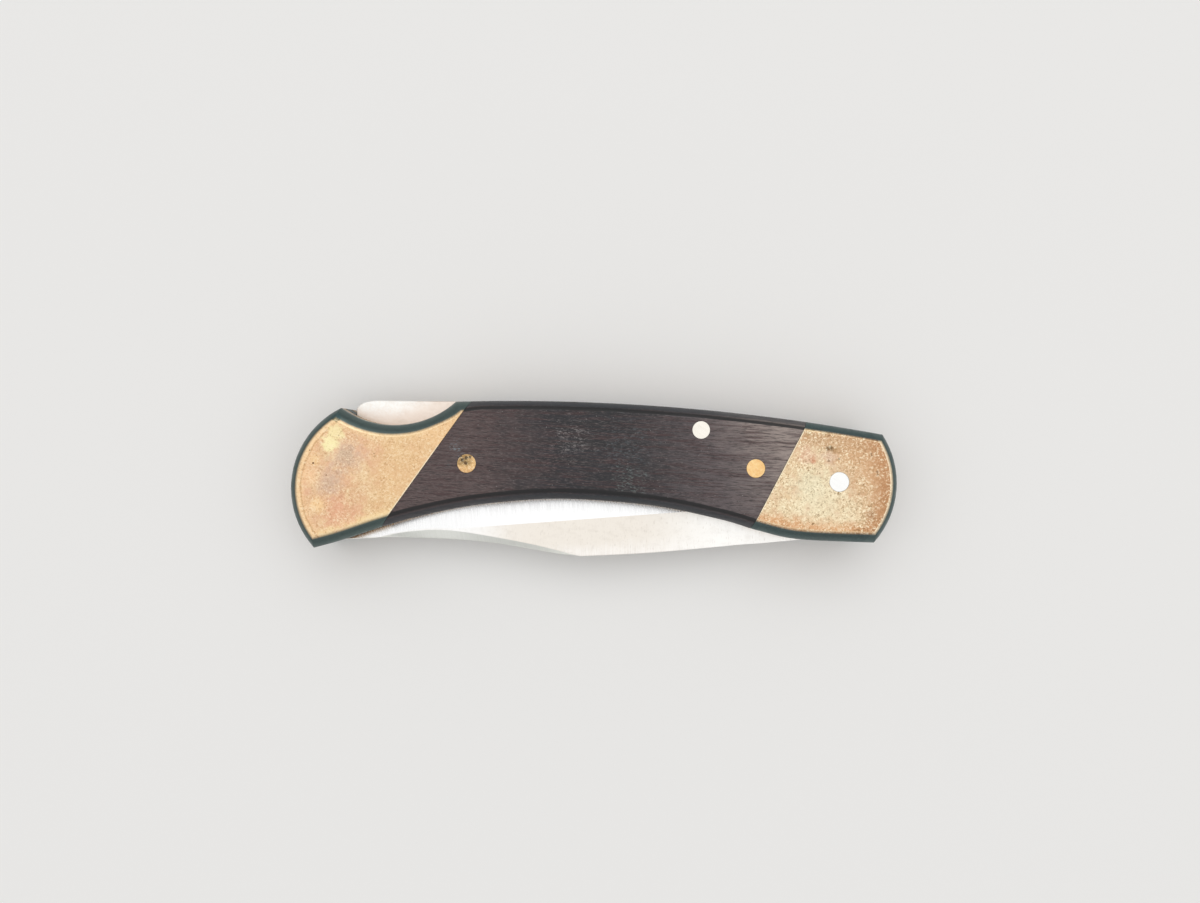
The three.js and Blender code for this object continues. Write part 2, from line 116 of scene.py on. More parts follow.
def in_frame(x: float, y: float, level: float) -> Triple:
    """A place in millimetres from the blade pivot, and its level, in the frame's metres."""
    return (x + PIVOT.x) * MM, (y + PIVOT.y) * MM, level * MM


def linear(hex_colour: str) -> tuple[float, float, float, float]:
    """Turns an sRGB hex colour into linear RGBA.

    Args:
        hex_colour: a colour such as "#a0b0c0".

    Returns:
        Linear red, green, blue and full alpha.
    """
    channels = [int(hex_colour[i : i + 2], 16) / 255 for i in (1, 3, 5)]
    curve = [c / 12.92 if c <= 0.04045 else ((c + 0.055) / 1.055) ** 2.4 for c in channels]
    return (*curve, 1.0)


# Outlines, in millimetres from the blade pivot with the knife closed


def arc_through(start: Point, end: Point, bulge: float, steps: int) -> list[Vector]:
    """Points on an arc between two corners, without its end.

    Args:
        start: first corner.
        end: second corner.
        bulge: height of the arc over its chord, positive to the right of the way.
        steps: number of equal steps.

    Returns:
        The points, from the first corner on.
    """
    a, b = Vector(start), Vector(end)
    half = (b - a).length / 2
    along = (b - a).normalized()
    right = Vector((along.y, -along.x))
    radius = (half * half + bulge * bulge) / (2 * bulge)
    reach = math.asin(half / radius)
    points = []
    for i in range(steps):
        turn = (2 * i / steps - 1) * reach
        rise = bulge - radius + radius * math.cos(turn)
        points.append((a + b) / 2 + right * rise + along * (radius * math.sin(turn)))
    return points


def arc_about(centre: Point, radius: float, start: float, end: float, steps: int) -> list[Vector]:
    """Points on a circle, both ends included.

    Args:
        centre: the circle's centre.
        radius: its radius.
        start: first angle in degrees.
        end: last angle in degrees.
        steps: number of equal steps.

    Returns:
        The points.
    """
    angles = [math.radians(start + (end - start) * i / steps) for i in range(steps + 1)]
    return [Vector(centre) + radius * Vector((math.cos(a), math.sin(a))) for a in angles]


def smooth_line(points: Sequence[Point], fineness: int = 40) -> list[Vector]:
    """A smooth curve through points, as many short chords.

    Args:
        points: the points that the curve passes.
        fineness: chords between one point and the next.

    Returns:
        Points along the curve, both ends included.
    """
    knots = [Vector(p) for p in points]
    line = []
    for i in range(len(knots) - 1):
        before, here = knots[max(i - 1, 0)], knots[i]
        there, after = knots[i + 1], knots[min(i + 2, len(knots) - 1)]
        pull, push = (there - before) / 2, (after - here) / 2
        for k in range(fineness):
            t = k / fineness
            cubic = (2 * here - 2 * there + pull + push) * t**3
            square = (3 * there - 3 * here - 2 * pull - push) * t**2
            line.append(cubic + square + pull * t + here)
    return line + [knots[-1]]


def even_steps(line: Sequence[Vector], steps: int) -> list[Vector]:
    """Points at equal steps along a line, without its end.

    Args:
        line: the line's points.
        steps: number of steps.

    Returns:
        The points.
    """
    reach = [0.0]
    for a, b in zip(line, line[1:]):
        reach.append(reach[-1] + (b - a).length)
    points, i = [], 1
    for k in range(steps):
        at = reach[-1] * k / steps
        while reach[i] < at:
            i += 1
        share = (at - reach[i - 1]) / (reach[i] - reach[i - 1])
        points.append(line[i - 1].lerp(line[i], share))
    return points


def moved_left(line: Sequence[Vector], distance: float) -> list[Vector]:
    """A line moved to its left.

    Args:
        line: the line's points.
        distance: how far, in millimetres.

    Returns:
        The moved points.
    """
    moved = []
    for i, point in enumerate(line):
        way = (line[min(i + 1, len(line) - 1)] - line[max(i - 1, 0)]).normalized()
        moved.append(point + Vector((-way.y, way.x)) * distance)
    return moved


def trim_corner(first: list[Vector], second: list[Vector]) -> tuple[list[Vector], list[Vector]]:
    """Cuts the end of one line and the start of the next where they cross.

    Args:
        first: the line that comes first.
        second: the line that follows.

    Returns:
        Both lines, meeting at the crossing.
    """
    for i in range(len(first) - 2, -1, -1):
        for j in range(len(second) - 1):
            corner = intersect_line_line_2d(first[i], first[i + 1], second[j], second[j + 1])
            if corner is not None:
                return [*first[: i + 1], corner], [corner, *second[j + 1 :]]
    return first, second


def height_along(line: Sequence[Vector]) -> Callable[[float], float]:
    """The height of a line as a function of x.

    Args:
        line: points with growing x.

    Returns:
        A function that gives y at x, level beyond the line's ends.
    """
    xs = [p.x for p in line]

    def height(x: float) -> float:
        """Height of the line at a place.

        Args:
            x: the place.

        Returns:
            The height.
        """
        after = min(max(bisect_left(xs, x), 1), len(line) - 1)
        a, b = line[after - 1], line[after]
        share = min(max((x - a.x) / (b.x - a.x), 0.0), 1.0)
        return a.y + share * (b.y - a.y)

    return height


def smooth_share(x: float, low: float, high: float) -> float:
    """A smooth step from 0 at low to 1 at high."""
    t = min(max((x - low) / (high - low), 0.0), 1.0)
    return t * t * (3 - 2 * t)


# Meshes and objects


@dataclass(frozen=True)
class Hole:
    """An upright round hole: its place from the pivot and its radius, in millimetres."""

    x: float
    y: float
    radius: float


def loft(rings: Sequence[tuple[Sequence[Vector], float]]) -> bmesh.types.BMesh:
    """A closed body through side view outlines of as many points each.

    Args:
        rings: for each outline its points, in millimetres from the pivot, and its level.

    Returns:
        The body as a bmesh, in metres.
    """
    bm = bmesh.new()
    (points, level), *others = rings
    end = bm.faces.new([bm.verts.new(in_frame(p.x, p.y, level)) for p in points])
    for points, level in others:
        # Given without its edges, the end would stay behind as a face inside the body
        made = bmesh.ops.extrude_face_region(bm, geom=[end, *end.edges])["geom"]
        end = next(item for item in made if isinstance(item, bmesh.types.BMFace))
        for vert, p in zip(end.verts, points):
            vert.co = in_frame(p.x, p.y, level)
    bmesh.ops.recalc_face_normals(bm, faces=bm.faces)
    return bm


def prism(points: Sequence[Vector], low: float, high: float) -> bmesh.types.BMesh:
    """A closed upright prism of a side view outline between two levels, in millimetres."""
    return loft([(points, low), (points, high)])


def rod(x: float, y: float, radius: float, low: float, high: float) -> bmesh.types.BMesh:
    """An upright round rod.

    Args:
        x: its place from the pivot, in millimetres, as all its measures.
        y: its height from the pivot.
        radius: its radius.
        low: level of its foot.
        high: level of its top.

    Returns:
        The rod as a bmesh, in metres.
    """
    bm = bmesh.new()
    bmesh.ops.create_cone(
        bm, cap_ends=True, segments=CIRCLE_STEPS, radius1=radius * MM, radius2=radius * MM,
        depth=(high - low) * MM, matrix=Matrix.Translation(in_frame(x, y, (low + high) / 2)),
    )
    return bm


def lies_at(element: bmesh.types.BMEdge | bmesh.types.BMFace, level: float) -> bool:
    """Whether a whole edge or face lies at a level, in millimetres."""
    return all(abs(vert.co.z - level * MM) < NEAR for vert in element.verts)


def soften(bm: bmesh.types.BMesh, edges: list[bmesh.types.BMEdge], size: float, steps: int) -> None:
    """Rounds or breaks edges.

    Args:
        bm: the mesh.
        edges: the edges to round.
        size: radius in millimetres.
        steps: rows of faces across the round.
    """
    bmesh.ops.bevel(
        bm, geom=edges, offset=size * MM, offset_type="OFFSET", segments=steps, profile=0.5,
        affect="EDGES", clamp_overlap=False, material=-1,
    )


def soften_faces(bm: bmesh.types.BMesh, low: float, high: float, size: float, steps: int) -> None:
    """Rounds the edges round the two flat faces of a plate.

    Args:
        bm: the mesh.
        low: level of the lower face in millimetres.
        high: level of the upper face in millimetres.
        size: radius in millimetres.
        steps: rows of faces across the round.
    """
    edges = [edge for level in (low, high) for edge in bm.edges if lies_at(edge, level)]
    soften(bm, edges, size, steps)


def cut_away(bm: bmesh.types.BMesh, point: Vector, normal: Vector) -> None:
    """Cuts off what lies in front of a plane and closes the cut.

    Args:
        bm: the mesh.
        point: a point on the plane, in metres.
        normal: points to the side that goes.
    """
    everything = bm.verts[:] + bm.edges[:] + bm.faces[:]
    bmesh.ops.bisect_plane(
        bm, geom=everything, dist=CUT_NEAR, plane_co=point, plane_no=normal, clear_outer=True
    )
    open_edges = [edge for edge in bm.edges if edge.is_boundary]
    bmesh.ops.edgeloop_fill(bm, edges=open_edges)
    bmesh.ops.recalc_face_normals(bm, faces=bm.faces)


def flat_face(bm: bmesh.types.BMesh, level: float) -> bmesh.types.BMFace:
    """The largest face that lies at a level.

    Args:
        bm: the mesh.
        level: the level in millimetres.

    Returns:
        The face.
    """
    return max((f for f in bm.faces if lies_at(f, level)), key=lambda face: face.calc_area())


def pierce(bm: bmesh.types.BMesh, holes: Sequence[Hole], low: float, high: float) -> None:
    """Makes upright round holes between the two flat faces of a plate.

    Args:
        bm: the mesh.
        holes: the holes.
        low: level of the lower face in millimetres.
        high: level of the upper face in millimetres.
    """
    rims: list[list[bmesh.types.BMEdge]] = [[] for _ in holes]
    for level in (low, high):
        face = flat_face(bm, level)
        normal, border = face.normal.copy(), face.edges[:]
        bmesh.ops.delete(bm, geom=[face], context="FACES_ONLY")
        for rim, hole in zip(rims, holes):
            middle = Matrix.Translation(in_frame(hole.x, hole.y, level))
            ring = bmesh.ops.create_circle(
                bm, cap_ends=False, segments=CIRCLE_STEPS, radius=hole.radius * MM, matrix=middle
            )
            edges = list(dict.fromkeys(edge for vert in ring["verts"] for edge in vert.link_edges))
            rim.extend(edges)
            border.extend(edges)
        bmesh.ops.triangle_fill(bm, use_beauty=True, use_dissolve=False, edges=border, normal=normal)
    for rim in rims:
        bmesh.ops.bridge_loops(bm, edges=rim)
    bmesh.ops.recalc_face_normals(bm, faces=bm.faces)


def carve(piece: bpy.types.Object, cutter_mesh: bmesh.types.BMesh) -> None:
    """Subtracts a mesh from a piece.

    Args:
        piece: the piece.
        cutter_mesh: what is taken away; it is freed.
    """
    data = bpy.data.meshes.new("cutter")
    cutter_mesh.to_mesh(data)
    cutter_mesh.free()
    cutter = bpy.data.objects.new("cutter", data)
    bpy.context.scene.collection.objects.link(cutter)
    boolean = piece.modifiers.new("cut", "BOOLEAN")
    boolean.operation = "DIFFERENCE"
    boolean.solver = "EXACT"
    boolean.object = cutter
    graph = bpy.context.evaluated_depsgraph_get()
    graph.update()
    result = bpy.data.meshes.new_from_object(piece.evaluated_get(graph))
    piece.modifiers.clear()
    old = piece.data
    piece.data = result
    bpy.data.meshes.remove(old)
    bpy.data.objects.remove(cutter)
    bpy.data.meshes.remove(data)


def shade(piece: bpy.types.Object, angle: float = 32.0) -> None:
    """Shades a piece smooth, with hard edges round its flats and where it turns sharply.

    Args:
        piece: the piece.
        angle: the turn in degrees above which an edge is hard.
    """
    piece.data.polygons.foreach_set("use_smooth", [True] * len(piece.data.polygons))
    piece.data.set_sharp_from_angle(angle=math.radians(angle))
    upright = 0.99999
    bm = bmesh.new()
    bm.from_mesh(piece.data)
    for edge in bm.edges:
        flats = sum(abs(face.normal.z) > upright for face in edge.link_faces)
        if flats == 1:
            edge.smooth = False
    bm.to_mesh(piece.data)
    bm.free()


def make_piece(
    name: str, bm: bmesh.types.BMesh, materials: Sequence[bpy.types.Material]
) -> bpy.types.Object:
    """Makes an object of a mesh.

    Args:
        name: the object's name.
        bm: its mesh, in place; it is freed.
        materials: its materials, in the order of their slots.

    Returns:
        The object.
    """
    data = bpy.data.meshes.new(name)
    bm.to_mesh(data)
    bm.free()
    for material in materials:
        data.materials.append(material)
    piece = bpy.data.objects.new(name, data)
    bpy.context.scene.collection.objects.link(piece)
    return piece


def place(piece: bpy.types.Object, body: str, node: str, slot: str) -> None:
    """Puts a finished piece on its body, in the place of a CAD node.

    Args:
        piece: the piece.
        body: the body that it rides on.
        node: the CAD node that it stands for.
        slot: the record's material slot; not used.
    """
    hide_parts(node)
    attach(piece, body)
    LOG.info("%s stands for %s on %s, %d faces", piece.name, node, body, len(piece.data.polygons))


# Materials


def feed(tree: bpy.types.NodeTree, node: bpy.types.Node, inputs: dict[str | int, object]) -> None:
    """Sets or links a node's inputs.

    Args:
        tree: the node's tree.
        node: the node.
        inputs: for each socket, by name or number, a value, a socket or a node to link.
    """
    for key, value in inputs.items():
        if isinstance(key, int):
            socket = node.inputs[key]
        else:
            socket = next(s for s in node.inputs if s.name == key and s.enabled)
        if isinstance(value, bpy.types.Node):
            value = next(s for s in value.outputs if s.enabled)
        if isinstance(value, bpy.types.NodeSocket):
            tree.links.new(value, socket)
        else:
            socket.default_value = value


def add_node(
    tree: bpy.types.NodeTree,
    kind: str,
    settings: dict[str, object] | None = None,
    inputs: dict[str | int, object] | None = None,
) -> bpy.types.Node:
    """Adds a node with its settings and its inputs.

    Args:
        tree: the tree that gets the node.
        kind: the node's type.
        settings: its properties.
        inputs: for each socket, by name or number, a value, a socket or a node to link.

    Returns:
        The node.
    """
    node = tree.nodes.new(kind)
    for key, value in (settings or {}).items():
        setattr(node, key, value)
    feed(tree, node, inputs or {})
    return node


class Measure(Enum):
    """How far a place lies along a heading, or away from another place."""

    ALONG = "DOT_PRODUCT"
    AWAY = "DISTANCE"


class Surface:
    """A material in the making, whose patterns have their sizes in millimetres.

    Its coordinates are millimetres in the knife's own frame, and its colour grows in layers.
    """

    def __init__(self, name: str, colour: str, settings: dict[str, float]) -> None:
        """Starts the material.

        Args:
            name: its name.
            colour: its even colour, as sRGB hex.
            settings: the shader's inputs that stay even.
        """
        self.material = bpy.data.materials.new(name)
        self.material.use_nodes = True
        self.tree = self.material.node_tree
        self.shader = self.tree.nodes["Principled BSDF"]
        self.colour = linear(colour)
        feed(self.tree, self.shader, {"Base Color": self.colour, **settings})
        place = self.add("ShaderNodeTexCoord").outputs["Object"]
        self.mm = self.add("ShaderNodeMapping", inputs={"Vector": place, "Scale": (1 / MM,) * 3})

    def add(
        self,
        kind: str,
        settings: dict[str, object] | None = None,
        inputs: dict[str | int, object] | None = None,
    ) -> bpy.types.Node:
        """Adds a node to the material, as add_node does."""
        return add_node(self.tree, kind, settings, inputs)

    def grains(
        self,
        size: float | Triple,
        detail: float,
        roughness: float,
        turn: float = 0.0,
        shift: float = 0.0,
        curl: float = 0.0,
    ) -> bpy.types.Node:
        """Adds noise whose grains have a real size.

        Args:
            size: the grain's size in millimetres, along each axis where they differ.
            detail: finer layers.
            roughness: strength of the finer layers.
            turn: turn of the pattern in the side view, in degrees.
            shift: moves the pattern, so that two of them differ.
            curl: how much the grains twist, in grain sizes.

        Returns:
            The noise node.
        """
        sizes = size if isinstance(size, tuple) else (size,) * 3
        turned = self.add(
            "ShaderNodeMapping",
            inputs={"Vector": self.mm, "Rotation": (0, 0, math.radians(turn)), "Location": (shift,) * 3},
        )
        stretched = self.add(
            "ShaderNodeMapping", inputs={"Vector": turned, "Scale": tuple(1 / s for s in sizes)}
        )
        return self.add(
            "ShaderNodeTexNoise",
            inputs={
                "Vector": stretched, "Scale": 1.0, "Detail": detail, "Roughness": roughness,
                "Distortion": curl,
            },
        )

    def ragged(
        self,
        measure: Measure,
        place: bpy.types.Node,
        other: Triple,
        drift: bpy.types.Node,
        reach: float,
    ) -> bpy.types.Node:
        """Adds a distance that wanders by a noise, so that the border drawn from it is ragged.

        Args:
            measure: what is measured.
            place: the node that gives the place.
            other: the heading, or the place that it is measured from.
            drift: the noise.
            reach: how far the whole range of the noise moves it, in millimetres.

        Returns:
            The node that gives the ragged distance in millimetres.
        """
        straight = self.add("ShaderNodeVectorMath", {"operation": measure.value}, {0: place, 1: other})
        centred = self.add("ShaderNodeMath", {"operation": "SUBTRACT"}, {0: drift, 1: 0.5})
        return self.add(
            "ShaderNodeMath",
            {"operation": "MULTIPLY_ADD"},
            {0: centred, 1: reach, 2: straight.outputs["Value"]},
        )

    def lay(
        self,
        colour: str,
        pattern: bpy.types.Node,
        start: float,
        full: float,
        strength: float | bpy.types.Node = 1.0,
    ) -> None:
        """Lays a colour over the others where a pattern lies within a range.

        Args:
            colour: the colour, as sRGB hex.
            pattern: the pattern.
            start: the pattern's value at which the colour starts to show.
            full: the value, higher or lower, from which on it shows in full.
            strength: how much of it shows in full.
        """
        amount = self.add(
            "ShaderNodeMapRange",
            SMOOTH,
            {"Value": pattern, "From Min": start, "From Max": full, "To Max": strength},
        )
        self.colour = self.add(
            "ShaderNodeMix",
            {"data_type": "RGBA"},
            {"Factor": amount, "A": self.colour, "B": linear(colour)},
        )

    def finish(
        self,
        uneven: bpy.types.Node,
        roughness: tuple[float, float],
        relief: bpy.types.Node,
        strength: float,
        depth: float,
    ) -> bpy.types.Material:
        """Gives the shader its colour, a roughness that varies and a fine relief.

        Args:
            uneven: the pattern that varies the roughness.
            roughness: its lowest and its highest value.
            relief: the pattern that gives the relief.
            strength: how strongly the relief shows.
            depth: its depth in millimetres.

        Returns:
            The finished material.
        """
        (low, high), (smoothest, roughest) = USUAL, roughness
        rough = self.add(
            "ShaderNodeMapRange",
            SMOOTH,
            {"Value": uneven, "From Min": low, "From Max": high, "To Min": smoothest, "To Max": roughest},
        )
        bump = self.add(
            "ShaderNodeBump", inputs={"Strength": strength, "Distance": depth * MM, "Height": relief}
        )
        feed(self.tree, self.shader, {"Base Color": self.colour, "Roughness": rough, "Normal": bump})
        return self.material


@dataclass(frozen=True)
class Mark:
    """A stain, spot, bright patch or patch of painted shade, at a place on the upper face in millimetres.
    """

    x: float
    y: float
    radius: float
    colour: str
    strength: float
    soft: float = 0.5


@dataclass(frozen=True)
class Rim:
    """A tint that grows towards an arc-shaped edge: the arc's centre, and where it starts and is full."""

    x: float
    y: float
    start: float
    full: float
    colour: str
    strength: float
    wander: float = 3.0


@dataclass(frozen=True)
class Fade:
    """A tint that grows straight across the side view: its heading in degrees, start and full place."""

    heading: float
    start: float
    full: float
    colour: str
    strength: float
    wander: float = 6.0


@dataclass(frozen=True)
class EdgeTint:
    """A tint on a rounded outer edge, by the depth below the flat face in millimetres."""

    colour: str
    strength: float
    start: float
    full: float
    fade: float = 20.0
    gone: float = 21.0


@dataclass(frozen=True)
class WearAndLight:
    """The uneven tones that use leaves, and painted highlights, reflections and shade, laid over a
    surface's even colour.
    """

    marks: tuple[Mark, ...] = ()
    rims: tuple[Rim, ...] = ()
    fades: tuple[Fade, ...] = ()
    edges: tuple[EdgeTint, ...] = ()
    level: float = 16.4
    drift_size: float = 3.4
    warp_size: float = 1.1
    raggedness: float = 1.5

    def lay(self, surface: Surface) -> None:
        """Lays fades, rims and marks over a surface's colour.

        Args:
            surface: the surface.
        """
        drift = surface.grains(self.drift_size, detail=6.0, roughness=0.62, shift=31.0)
        for fade in self.fades:
            heading = math.radians(fade.heading)
            way = (math.cos(heading), math.sin(heading), 0.0)
            along = surface.ragged(Measure.ALONG, surface.mm, way, drift, fade.wander)
            surface.lay(fade.colour, along, fade.start, fade.full, fade.strength)
        side_view = surface.add(
            "ShaderNodeVectorMath", {"operation": "MULTIPLY"}, {0: surface.mm, 1: (1.0, 1.0, 0.0)}
        )
        for rim in self.rims:
            away = surface.ragged(Measure.AWAY, side_view, (rim.x, rim.y, 0.0), drift, rim.wander)
            surface.lay(rim.colour, away, rim.start, rim.full, rim.strength)
        warp = surface.grains(self.warp_size, detail=4.0, roughness=0.6, shift=7.0)
        for mark in self.marks:
            place = (mark.x, mark.y, self.level)
            reach = self.raggedness * mark.radius
            away = surface.ragged(Measure.AWAY, surface.mm, place, warp, reach)
            surface.lay(mark.colour, away, mark.radius, mark.radius * (1 - mark.soft), mark.strength)

    def lay_edges(self, surface: Surface) -> None:
        """Lays the edge tints over a surface's colour, on both sides of the handle alike.

        Args:
            surface: the surface.
        """
        middle = self.level / 2
        height = surface.add("ShaderNodeSeparateXYZ", inputs={"Vector": surface.mm}).outputs["Z"]
        off_middle = surface.add("ShaderNodeMath", {"operation": "SUBTRACT"}, {0: height, 1: middle})
        reach = surface.add("ShaderNodeMath", {"operation": "ABSOLUTE"}, {0: off_middle})
        depth = surface.add("ShaderNodeMath", {"operation": "SUBTRACT"}, {0: middle, 1: reach})
        for edge in self.edges:
            left = surface.add(
                "ShaderNodeMapRange",
                SMOOTH,
                {"Value": depth, "From Min": edge.gone, "From Max": edge.fade, "To Max": edge.strength},
            )
            surface.lay(edge.colour, depth, edge.start, edge.full, left)


@dataclass(frozen=True)
class HandWornBrass:
    """Cast brass, polished flat, then browned by hands.

    The eye sees a warm, blotchy metal: pink where it has tarnished, yellow where it has been
    rubbed, with a fine curly mottle of cream and brown and a soft, uneven shine.
    """

    name: str
    pale: str = "#eccda2"
    warm: str = "#e6bd94"
    pink: str = "#e3b292"
    cream: str = "#fbe8c6"
    brown: str = "#a37450"
    pit: str = "#7a5638"
    roughness: float = 0.36
    shinier: float = 0.08
    duller: float = 0.12
    mottle_size: float = 0.4
    mottle: float = 0.58
    blotch_size: float = 6.0
    curl_relief: float = 0.8
    wear_and_light: WearAndLight = WearAndLight()

    def build(self) -> bpy.types.Material:
        """Builds the material.

        Returns:
            The material.
        """
        surface = Surface(self.name, self.pale, {"Metallic": 1.0})
        blotches = surface.grains(self.blotch_size, detail=5.0, roughness=0.6)
        surface.lay(self.warm, blotches, start=0.38, full=0.6)
        bloom = surface.grains(self.blotch_size / 2, detail=6.0, roughness=0.65, shift=31.0)
        surface.lay(self.pink, bloom, start=0.46, full=0.66, strength=0.7)
        self.wear_and_light.lay(surface)
        curls = surface.grains(self.mottle_size, detail=2.0, roughness=0.6, shift=3.0, curl=0.9)
        mottles = (
            (self.cream, 0.5, 0.66, self.mottle),
            (self.brown, 0.48, 0.3, self.mottle * 0.8),
        )
        for colour, start, full, most in mottles:
            strength = surface.add(
                "ShaderNodeMapRange",
                SMOOTH,
                {"Value": bloom, "From Min": 0.42, "From Max": 0.62, "To Min": most, "To Max": most / 2},
            )
            surface.lay(colour, curls, start, full, strength)
        pits = surface.grains(self.mottle_size * 1.2, detail=1.0, roughness=0.5, shift=57.0)
        surface.lay(self.pit, pits, start=0.75, full=0.8, strength=0.5)
        self.wear_and_light.lay_edges(surface)
        polish = surface.grains(2.6, detail=5.0, roughness=0.6, shift=13.0)
        scratches = surface.grains((6.0, 0.09, 6.0), detail=2.0, roughness=0.5, turn=24.0)
        crossed = surface.grains((5.0, 0.08, 5.0), detail=2.0, roughness=0.5, turn=-38.0, shift=5.0)
        lines = surface.add("ShaderNodeMath", {"operation": "ADD"}, {0: scratches, 1: crossed})
        relief = surface.add(
            "ShaderNodeMath", {"operation": "MULTIPLY_ADD"}, {0: curls, 1: self.curl_relief, 2: lines}
        )
        roughness = (self.roughness - self.shinier, self.roughness + self.duller)
        return surface.finish(polish, roughness, relief, strength=0.16, depth=0.02)


@dataclass(frozen=True)
class OiledDarkwood:
    """Dense dark hardwood, sanded, oiled and polished by use.

    The eye sees a bluish near-black that turns purple-brown towards the ends, fine threads and
    open pores along the grain, a low sheen and a few pale scuffs. A painted sheen pales it
    towards the front end, and a painted reflection greys its rounded edges.
    """

    name: str = "ebony_oiled_and_worn"
    dark: str = "#101015"
    brown: str = "#452d2d"
    violet: str = "#201d24"
    pore: str = "#09080a"
    thread: str = "#8a7d7b"
    dust: str = "#a9a6a2"
    roughness: float = 0.46
    shinier: float = 0.08
    duller: float = 0.12
    grain_turn: float = 3.0
    scuff_raggedness: float = 3.5
    wear_and_light: WearAndLight = WearAndLight()
    scuffs: tuple[Mark, ...] = ()

    def build(self) -> bpy.types.Material:
        """Builds the material.

        Returns:
            The material.
        """
        surface = Surface(self.name, self.dark, {"IOR": 1.5})
        turn = self.grain_turn
        bands = surface.grains((20.0, 1.4, 3.0), detail=5.0, roughness=0.6, turn=turn)
        surface.lay(self.violet, bands, start=0.38, full=0.64)
        self.wear_and_light.lay(surface)
        streaks = surface.grains((9.0, 0.5, 1.2), detail=5.0, roughness=0.65, turn=turn, shift=11.0)
        surface.lay(self.brown, streaks, start=0.46, full=0.64, strength=0.8)
        fibres = surface.grains((1.7, 0.17, 0.3), detail=3.0, roughness=0.7, turn=turn, shift=23.0)
        surface.lay(self.pore, fibres, start=0.46, full=0.66, strength=0.66)
        threads = surface.grains(
            (0.9, 0.16, 0.3), detail=3.0, roughness=0.7, turn=turn, shift=41.0, curl=0.2
        )
        surface.lay(self.thread, threads, start=0.48, full=0.72, strength=0.36)
        specks = surface.grains(0.3, detail=1.0, roughness=0.5, shift=77.0)
        surface.lay(self.dust, specks, start=0.76, full=0.8, strength=0.6)
        dashes = surface.grains(
            (0.7, 0.2, 0.3), detail=2.0, roughness=0.6, turn=turn, shift=5.0, curl=0.6
        )
        self.lay_scuffs(surface, dashes)
        self.wear_and_light.lay_edges(surface)
        relief = surface.add(
            "ShaderNodeMath", {"operation": "MULTIPLY_ADD"}, {0: fibres, 1: -1.0, 2: dashes}
        )
        roughness = (self.roughness - self.shinier, self.roughness + self.duller)
        return surface.finish(streaks, roughness, relief, strength=0.35, depth=0.04)

    def lay_scuffs(self, surface: Surface, dashes: bpy.types.Node) -> None:
        """Lays the scuffs over the wood: ragged patches of short dashes.

        Args:
            surface: the wood's surface.
            dashes: the pattern of the dashes.
        """
        patches = surface.grains((2.2, 1.1, 2.0), detail=4.0, roughness=0.65, shift=19.0)
        for scuff in self.scuffs:
            place = (scuff.x, scuff.y, self.wear_and_light.level)
            reach = self.scuff_raggedness * scuff.radius
            away = surface.ragged(Measure.AWAY, surface.mm, place, patches, reach)
            core = scuff.radius * (1 - scuff.soft)
            near = surface.add(
                "ShaderNodeMapRange",
                SMOOTH,
                {"Value": away, "From Min": scuff.radius, "From Max": core, "To Max": scuff.strength},
            )
            surface.lay(scuff.colour, dashes, start=0.52, full=0.64, strength=near)


@dataclass(frozen=True)
class GroundSteel:
    """Steel finished on a belt or a wheel.

    The eye sees a bright grey metal with fine straight grinding lines; they are finer than the
    render can show, so they are drawn about three times as coarse.
    """

    name: str
    pale: str
    grey: str
    line_turn: float = 90.0
    line_length: float = 7.0
    line_width: float = 0.16
    roughness: float = 0.34
    shinier: float = 0.05
    duller: float = 0.07
    relief: float = 0.12
    contrast: float = 0.5
    stain: str = "#b5aa9c"
    stain_amount: float = 0.12
    fleck_amount: float = 0.0
    wear_and_light: WearAndLight = WearAndLight()

    def build(self) -> bpy.types.Material:
        """Builds the material.

        Returns:
            The material.
        """
        surface = Surface(self.name, self.pale, {"Metallic": 1.0})
        size = (self.line_length, self.line_width, self.line_length)
        lines = surface.grains(size, detail=4.0, roughness=0.6, turn=self.line_turn)
        surface.lay(self.grey, lines, start=0.36, full=0.7, strength=self.contrast)
        self.wear_and_light.lay(surface)
        clouds = surface.grains((2.6, 1.8, 1.8), detail=6.0, roughness=0.7, shift=19.0)
        surface.lay(self.stain, clouds, start=0.46, full=0.68, strength=self.stain_amount)
        flecks = surface.grains(
            (0.9, 0.24, 0.9), detail=2.0, roughness=0.5, turn=self.line_turn, shift=9.0
        )
        surface.lay(self.stain, flecks, start=0.6, full=0.74, strength=self.fleck_amount)
        roughness = (self.roughness - self.shinier, self.roughness + self.duller)
        return surface.finish(lines, roughness, lines, self.relief, depth=0.02)


BRASS_EDGE_HIGHLIGHT_REFLECTION_AND_PATINA = (
    # painted highlight, with polish: a thin pale line where the flat face meets the rounded edge
    EdgeTint("#f7e3bb", 0.4, 0.002, 0.006, 0.02, 0.1),
    # painted reflection and shade: the rounded edge turned dark teal
    EdgeTint("#475e61", 0.95, 0.02, 0.3, 2.2, 4.8),
    # brown patina on the upright wall below the round
    EdgeTint("#8a6c45", 0.75, 2.4, 4.4),
)
WOOD_EDGE_LINE_AND_REFLECTION = (
    # a near-black line just below the edge break
    EdgeTint("#08080a", 0.94, 0.01, 0.05, 0.25, 0.6),
    # painted reflection: a bluish grey over the rounded edge and the side wall
    EdgeTint("#2b3035", 0.8, 0.3, 0.7),
)
REAR_RIMS = (
    Rim(-44.05, -1.87, 14.4, 15.8, "#f3c99b", 0.7, 2.0),
    Rim(-44.05, -1.87, 15.4, 15.62, "#c39a6c", 0.6, 0.9),
    # a thin bright line along the flat face's rim at the butt: polished brass, and a painted highlight
    Rim(-44.05, -1.87, 15.7, 16.0, "#f9d6a8", 0.9, 0.9),
    Rim(-41.05, 29.54, 22.4, 20.9, "#f0d0a0", 0.6, 2.0),
)
